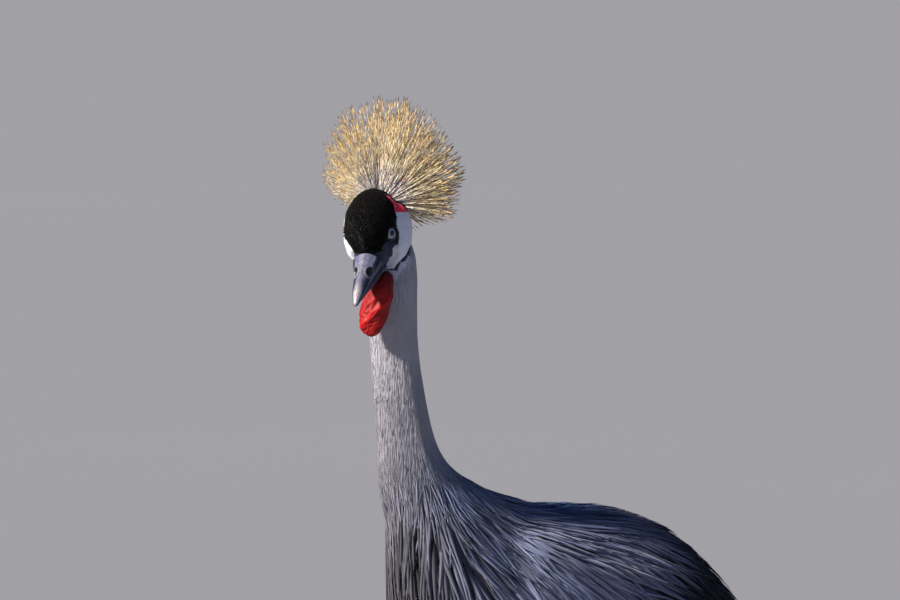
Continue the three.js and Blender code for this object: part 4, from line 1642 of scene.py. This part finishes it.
@dataclass
class Bill:
    """The two halves of the bill, with the nostrils' pale rims, a brownish ridge, and painted shade on its
    underside and in the nostrils.
    """

    voxel_mm: float = 0.6
    nostril_mm: Triple = (48.2, 7.6, -2.7)
    nostril_radii_mm: Triple = (6.2, 4.4, 4.2)
    # The bill's top line as (forward, up), and how far below it the slate reaches as (forward, down)
    top: tuple[Pair, ...] = ((24, 9), (44, 3.6), (64, 0.2), (88, -8))
    edge: tuple[Pair, ...] = ((24, 8.0), (44, 6.0), (60, 2.2), (88, 0.9))
    slate: str = "#666a85"
    # Partly the horn's own darker grey, mostly painted shade on the underside, the lower sides and by the
    # gape
    dark: str = "#2c2f42"
    ridge: str = "#806c64"
    pale: str = "#a19ea8"
    # Painted shadow in the nostrils' hollows
    nostril: str = "#08080b"

    def build(self) -> None:
        """Makes both halves."""
        for half in ("upper", "lower"):
            obj = remeshed(f"bill_{half}_horn", [f"bill_{half}"], self.voxel_mm, 6)
            points = corners_of(obj)
            local = HEAD.to_local(points)
            streaks = grain(local * MM * (0.25, 1.0, 1.0), 1.2)
            points += normals_of(obj) * (streaks * 0.10 * MM)[:, None]
            move_corners(obj, points)
            write_attribute(obj, "mark", self.marks(local, half == "upper"))
            own_piece(obj, [f"bill_{half}"], HornFinish(f"bill_{half}_keratin").material())

    def marks(self, local: np.ndarray, upper: bool) -> np.ndarray:
        """The linear colour at each place on the bill.

        Args:
            local: Places in the head's millimetres.
            upper: True for the upper half.

        Returns:
            One colour for each place.
        """
        forward, aside = local[:, 0], np.abs(local[:, 1])
        if not upper:
            # Painted shade: the lower half, under the upper one, darkens towards its base
            return blend(self.slate, self.dark, 0.6 + 0.3 * ramp(-forward, -60.0, -30.0))
        below = np.interp(forward, *np.array(self.top).T) - local[:, 2]
        side = np.interp(forward, *np.array(self.edge).T)
        out = blend(self.slate, self.ridge, 0.8 * ramp(-below, -3.4, -0.8) * ramp(forward, 36.0, 46.0))
        out = blend(out, self.pale, 0.9 * ramp(forward, 60.0, 78.0))
        # Painted shade on the sides below the slate edge and beside the gape
        out = blend(out, self.dark, 0.92 * ramp(below - side, 0.0, 2.6))
        out = blend(out, self.dark, 0.8 * ramp(aside, 8.5, 13.0) * ramp(-forward, -44.0, -34.0))
        gap = np.abs(local) * (0, 1, 0) + local * (1, 0, 1) - np.array(self.nostril_mm)
        far = np.linalg.norm(gap / self.nostril_radii_mm, axis=1)
        rim = np.exp(-(((far - 1.16) / 0.15) ** 2)) * (0.35 + 0.65 * ramp(gap[:, 0], -2.0, 3.0))
        out = blend(out, self.pale, 0.75 * rim)
        # Painted shadow fills each nostril's hollow
        return blend(out, self.nostril, 1.0 - ramp(far, 0.80, 0.98))


@dataclass(frozen=True)
class EyeFinish:
    """The wet eyeball: a pale blue-grey iris with fine spokes, a black pupil and a dark outer ring."""

    name: str = "wet_eyeball"
    stops: tuple[tuple[float, str], ...] = (
        (0.0, "#030405"),
        (0.28, "#020304"),
        (0.32, "#71828f"),
        (0.43, "#a9b9c4"),
        (0.585, "#93a4b0"),
        (0.63, "#0e1114"),
    )

    def material(self) -> bpy.types.Material:
        """Makes the procedural material."""
        paint = Paint(self.name, Roughness=0.25, IOR=1.38, Coat_Weight=1.0, Coat_Roughness=0.03)
        out = paint.read("out_mm")
        spokes = paint.noise(paint.vector(paint.read("turn"), out), 4.0, 3.0)
        reach = paint.remap(out, (0.0, EYE.radius_mm), (0.0, 1.0))
        return paint.finish(paint.bands(reach, self.stops), paint.remap(spokes, NARROW_SPAN, (0.8, 1.15)))


@dataclass
class Eyes:
    """The two eyeballs, each with a slightly bulging cornea."""

    bulge_mm: float = 0.5

    def build(self) -> None:
        """Makes both eyeballs, which stand for the eyes' nodes."""
        for side, sign in SIDES.items():
            middle, axis = EYE.on(sign)
            middle, axis = HEAD.to_world(middle), axis @ HEAD.axes.T
            turn = Vector(axis).to_track_quat("Z", "Y").to_euler()
            bpy.ops.object.select_all(action="DESELECT")
            bpy.ops.mesh.primitive_uv_sphere_add(
                segments=48, ring_count=32, radius=EYE.radius_mm * MM, location=middle, rotation=turn
            )
            obj = bpy.context.object
            obj.name = f"eyeball_{side}"
            bpy.ops.object.transform_apply(location=True, rotation=True, scale=True)
            bpy.ops.object.shade_smooth()
            points = corners_of(obj)
            ways = unit(points - middle)
            angle = np.degrees(np.arccos(np.clip(ways @ axis, -1, 1)))
            points += ways * (self.bulge_mm * MM * (1.0 - ramp(angle, 8.0, 40.0)))[:, None]
            move_corners(obj, points)
            spread = points - middle
            flat = spread - (spread @ axis)[:, None] * axis
            first = unit(np.cross(axis, (0, 0, 1)))
            second = np.cross(axis, first)
            write_attribute(obj, "out_mm", EYE.radius_mm * np.sin(np.radians(np.minimum(angle, 90))))
            write_attribute(obj, "turn", 3.0 * np.arctan2(flat @ first, flat @ second))
            own_piece(obj, [f"eye_{side}"], EyeFinish().material())


@dataclass(frozen=True)
class WattleFinish:
    """Moist bare wattle: red skin full of blood with a faint gloss, whose marks carry painted highlights on
    the folds and painted shade in the creases.
    """

    name: str = "wattle_moist_skin"

    def material(self) -> bpy.types.Material:
        """Makes the procedural material."""
        paint = Paint(
            self.name,
            Roughness=0.6,
            IOR=1.4,
            Subsurface_Weight=0.12,
            Subsurface_Radius=(0.004, 0.001, 0.0006),
            Coat_Weight=0.02,
            Coat_Roughness=0.3,
        )
        place = paint.place()
        gain = paint.remap(paint.noise(place, 320.0, 5.0), NOISE_SPAN, (0.86, 1.14))
        return paint.finish(paint.read("mark", "Color"), gain, paint.noise(place, 900.0, 3.0), 0.4, 0.3)


@dataclass
class Wattle:
    """The soft red sac under the throat, with lengthwise folds and fine wrinkles."""

    voxel_mm: float = 0.9
    fold_mm: float = 0.8
    wrinkle_mm: float = 0.25
    lie: Triple = (-0.57, 0.48, 0.67)  # the way that the fine folds run
    drift_mm: float = 5.0  # how far they stray from it
    ridge_mm: float = 1.7  # height of the broad fold across the front
    ridge_long_mm: float = 33.0
    ridge_from: Triple = (0.2445, 0.0080, 0.8611)
    ridge_to: Triple = (0.2614, -0.0062, 0.8381)
    front: Triple = (0.64, 0.76, 0.07)
    # Lit and shaded copies of the one red: bright is painted highlight on the folds and the broad ridge; deep
    # is painted shade in the creases and at the top under the head, where the skin is also a darker red
    bright: str = "#b0060c"
    deep: str = "#5e0303"

    def build(self) -> bpy.types.Object:
        """Makes the wattle."""
        obj = remeshed("wattle_sac", ["wattle"], self.voxel_mm, 8)
        points = corners_of(obj)
        low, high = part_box("wattle")
        down = (high.z - points[:, 2]) / (high.z - low.z)
        drift = np.stack([grain(points, 26.0, 2.0), grain(points, 26.0, 5.0), 0 * down], axis=1)
        wander = points + drift * self.drift_mm * MM
        lie = unit(np.array(self.lie))
        folds = grain(wander - 0.74 * (wander @ lie)[:, None] * lie, 3.6)
        start, front = np.array(self.ridge_from), unit(np.array(self.front))
        run = np.array(self.ridge_to) - start
        along = (points - start) @ run / (run @ run)
        off = (points - start) @ unit(np.cross(run, front)) / MM
        over = np.abs(along - np.clip(along, -0.15, 1.15)) * self.ridge_long_mm
        normals = normals_of(obj)
        broad = np.exp(-((off / 3.4) ** 2) - (over / 3.0) ** 2) * ramp(normals @ front, 0.0, 0.5)
        cross = grain(points * (1.0, 1.0, 0.7), 2.4, 9.0)
        shape = 1.0 - 2.0 * np.abs(folds) ** 0.7
        rise = self.fold_mm * shape * ramp(down, 0.05, 0.4) + self.wrinkle_mm * cross + self.ridge_mm * broad
        points += normals * (rise * MM)[:, None]
        move_corners(obj, points)
        # Painted light: the red brightens on raised folds and the ridge and deepens in the creases and
        # towards the top
        share = np.clip(0.45 + 0.38 * shape + 0.22 * cross + 0.45 * broad, 0.0, 1.15) * ramp(down, 0.0, 0.42)
        write_attribute(obj, "mark", blend(self.deep, self.bright, share))
        return own_piece(obj, ["wattle"], WattleFinish().material())


@dataclass
class Claws:
    """The eight claws, smoothed, run back into their toes, and mottled dark and paler at random."""

    voxel_mm: float = 0.45
    root_mm: float = 2.0  # how far each claw's root runs back into its toe
    dark: str = "#17161a"
    pale: str = "#3d3a3c"

    def build(self) -> None:
        """Makes each foot's claws as one piece."""
        for side in SIDES:
            nodes = [f"claw_{side}_{toe}" for toe in TOES]
            obj = remeshed(f"claws_{side}", nodes, self.voxel_mm, 3)
            points = corners_of(obj)
            middles = box_middles(nodes)
            toes = box_middles([f"toe_{side}_{toe}" for toe in TOES])
            own = np.argmin(np.linalg.norm(points[:, None] - middles[None], axis=2), axis=1)
            back = unit(toes - middles)[own]
            behind = ((points - middles[own]) * back).sum(axis=1) / MM
            points += back * (ramp(behind, 1.0, 5.0) * self.root_mm * MM)[:, None]
            points[:, 2] = np.maximum(points[:, 2], 0.0)
            move_corners(obj, points)
            share = ramp(grain(points, 4.0), -0.6, 0.8)
            write_attribute(obj, "mark", blend(self.dark, self.pale, share))
            own_piece(obj, nodes, HornFinish("claw_horn_keratin", 0.34).material())


@dataclass
class FlightFeathers:
    """The broad feathers of the tail and of the folded wings' lower edge."""

    tail_feathers: int = 12
    tail_root: Triple = (-0.165, 0.012, 0.497)
    tail_tip: Triple = (-0.304, 0.034, 0.379)
    tail_width_mm: float = 25.0
    primaries: int = 8
    wing_root: Triple = (-0.060, 0.074, 0.486)
    wing_tip: Triple = (-0.262, 0.030, 0.398)
    wing_width_mm: float = 17.0
    wing_roll: float = 0.95  # radians
    sag_mm: float = 6.0
    upper_face: Triple = (0.45, 0.0, 0.89)
    black: str = "#151417"
    steps: int = 12

    def lines(self, root: np.ndarray, tip: np.ndarray, sag_mm: float) -> np.ndarray:
        """Midlines from roots to tips, bowed a little."""
        t = np.linspace(0.0, 1.0, self.steps)[None, :, None]
        bow = np.array((0.0, 0.0, 1.0)) * sag_mm * MM * 4 * t * (1 - t)
        return root[:, None] + (tip - root)[:, None] * t + bow

    def build(self) -> None:
        """Makes the tail and both wings' flight feathers."""
        share = np.linspace(-1.0, 1.0, self.tail_feathers)
        low = np.abs(share)
        in_plane = np.array((1.0, 0.0, 1.0))
        root = self.tail_root * in_plane + np.stack([0 * share, share * self.tail_root[1], -0.004 * low], 1)
        tip = self.tail_tip * in_plane + np.stack([0.008 * low, share * self.tail_tip[1], -0.0065 * low], 1)
        roll = np.sign(share) * 0.10 + share * 0.3
        self.fan("tail_feathers", root, tip, self.tail_width_mm, roll, ["tail"])
        share = np.linspace(0.0, 1.0, self.primaries)
        rest = 1 - share
        root = self.wing_root + np.stack([-0.05 * share, -0.02 * share, -0.012 * rest], 1)
        tip = self.wing_tip + np.stack([0.075 * rest, 0.028 * rest, 0.012 * rest], 1)
        for side, sign in SIDES.items():
            flip = np.array((1.0, sign, 1.0))
            roll = -sign * np.full(self.primaries, self.wing_roll)
            self.fan(f"flight_{side}", root * flip, tip * flip, self.wing_width_mm, roll)

    def fan(
        self,
        name: str,
        root: np.ndarray,
        tip: np.ndarray,
        width_mm: float,
        roll: np.ndarray,
        replaces: Sequence[str] = (),
    ) -> bpy.types.Object:
        """Makes a row of broad feathers.

        Args:
            name: The piece's name.
            root: The roots of the feathers.
            tip: Their tips.
            width_mm: Their width.
            roll: How far each is rolled about its midline, in radians.
            replaces: The CAD nodes that they stand for.

        Returns:
            The row's object.
        """
        count = len(root)
        vanes = Vanes(
            centres=self.lines(root, tip, self.sag_mm),
            normals=np.tile(self.upper_face, (count, self.steps, 1)),
            widths_mm=np.full(count, width_mm),
            marks=np.tile(linear(self.black), (count, 1)),
            tones=np.linspace(-0.8, 0.8, count),
            charts=np.stack([0.05 + 0.9 * np.arange(count) / count, np.full(count, 0.5)], axis=1),
            rolls=np.repeat(roll[:, None], self.steps, 1),
        )
        obj = vanes.build(name, Blade.FLIGHT, 0.10, VANE_SECTION)
        finish = FeatherFinish("black_flight_feathers", 0.42, 0.2, 0.9, 0.1, 0.25, 0.25, 6.0)
        return own_piece(obj, replaces, finish.material())


@dataclass
class Studio:
    """The plain pale floor, soft studio light and the camera."""

    floor_size: float = 240.0
    floor_tint: str = "#868a92"
    key_from: Triple = (0.785, -0.196, 0.588)
    fill_from: Triple = (0.2, 0.9, 0.45)
    key_power: float = 7.6
    fill_power: float = 0.10
    sky_power: float = 0.17
    key_tint: str = "#fff3e4"
    fill_tint: str = "#cddcff"
    sky_tint: str = "#7ea3ef"
    looks_from: Triple = (0.641, 0.764, 0.070)  # towards the camera
    target: Triple = (0.1766, 0.0195, 0.8586)
    distance: float = 8.0
    view_width: float = 0.855  # metres across the frame at the target

    def build(self) -> None:
        """Sets up the floor, the lights, the world and the camera."""
        self.add_floor()
        self.add_sun("key", self.key_from, self.key_power, 7.0, self.key_tint)
        self.add_sun("fill", self.fill_from, self.fill_power, 60.0, self.fill_tint)
        world = bpy.data.worlds.new("studio")
        bpy.context.scene.world = world
        world.use_nodes = True
        sky = world.node_tree.nodes["Background"]
        sky.inputs["Color"].default_value = (*linear(self.sky_tint), 1.0)
        sky.inputs["Strength"].default_value = self.sky_power
        bpy.context.scene.view_settings.view_transform = "Standard"
        self.add_camera()

    def add_floor(self) -> None:
        """A wide floor of matt painted board, with a faint mottle."""
        bpy.ops.object.select_all(action="DESELECT")
        bpy.ops.mesh.primitive_plane_add(size=self.floor_size, location=(0.0, 0.0, 0.0))
        floor = bpy.context.object
        floor.name = "floor"
        paint = Paint("matt_painted_board", Roughness=0.85)
        gain = paint.remap(paint.noise(paint.place(), 0.5, 3.0), (0.0, 1.0), (0.985, 1.015))
        floor.data.materials.append(paint.finish(linear(self.floor_tint), gain))

    def add_sun(self, name: str, toward: Sequence[float], power: float, soft: float, tint: str) -> None:
        """Adds a broad, distant lamp.

        Args:
            name: The lamp's name.
            toward: The way from the bird to the lamp.
            power: Its strength.
            soft: The angle that it fills, in degrees.
            tint: Its colour.
        """
        lamp = bpy.data.lights.new(name, "SUN")
        lamp.energy = power
        lamp.angle = math.radians(soft)
        lamp.color = linear(tint)
        obj = bpy.data.objects.new(name, lamp)
        obj.rotation_euler = Vector(toward).to_track_quat("Z", "Y").to_euler()
        bpy.context.scene.collection.objects.link(obj)

    def add_camera(self) -> None:
        """Adds the camera at the photo's angle and framing."""
        back = Vector(self.looks_from).normalized()
        cam = bpy.data.cameras.new("camera")
        cam.sensor_width = 36.0
        cam.lens = cam.sensor_width * self.distance / self.view_width
        cam.clip_end = 500.0
        obj = bpy.data.objects.new("camera", cam)
        obj.location = Vector(self.target) + back * self.distance
        obj.rotation_euler = back.to_track_quat("Z", "Y").to_euler()
        bpy.context.scene.collection.objects.link(obj)
        bpy.context.scene.camera = obj


def main() -> None:
    """Builds the studio, the skin, the head's own pieces and the plumage, in that order."""
    logging.basicConfig(level=logging.INFO, format="%(message)s", force=True)
    Studio().build()
    skin = Skin()
    skin.build()
    skin.survey()
    Bill().build()
    Eyes().build()
    Wattle().build()
    Claws().build()
    FlightFeathers().build()
    Crest().build(skin)
    Plumage(skin, 7).grow()


if __name__ == "__main__":
    main()
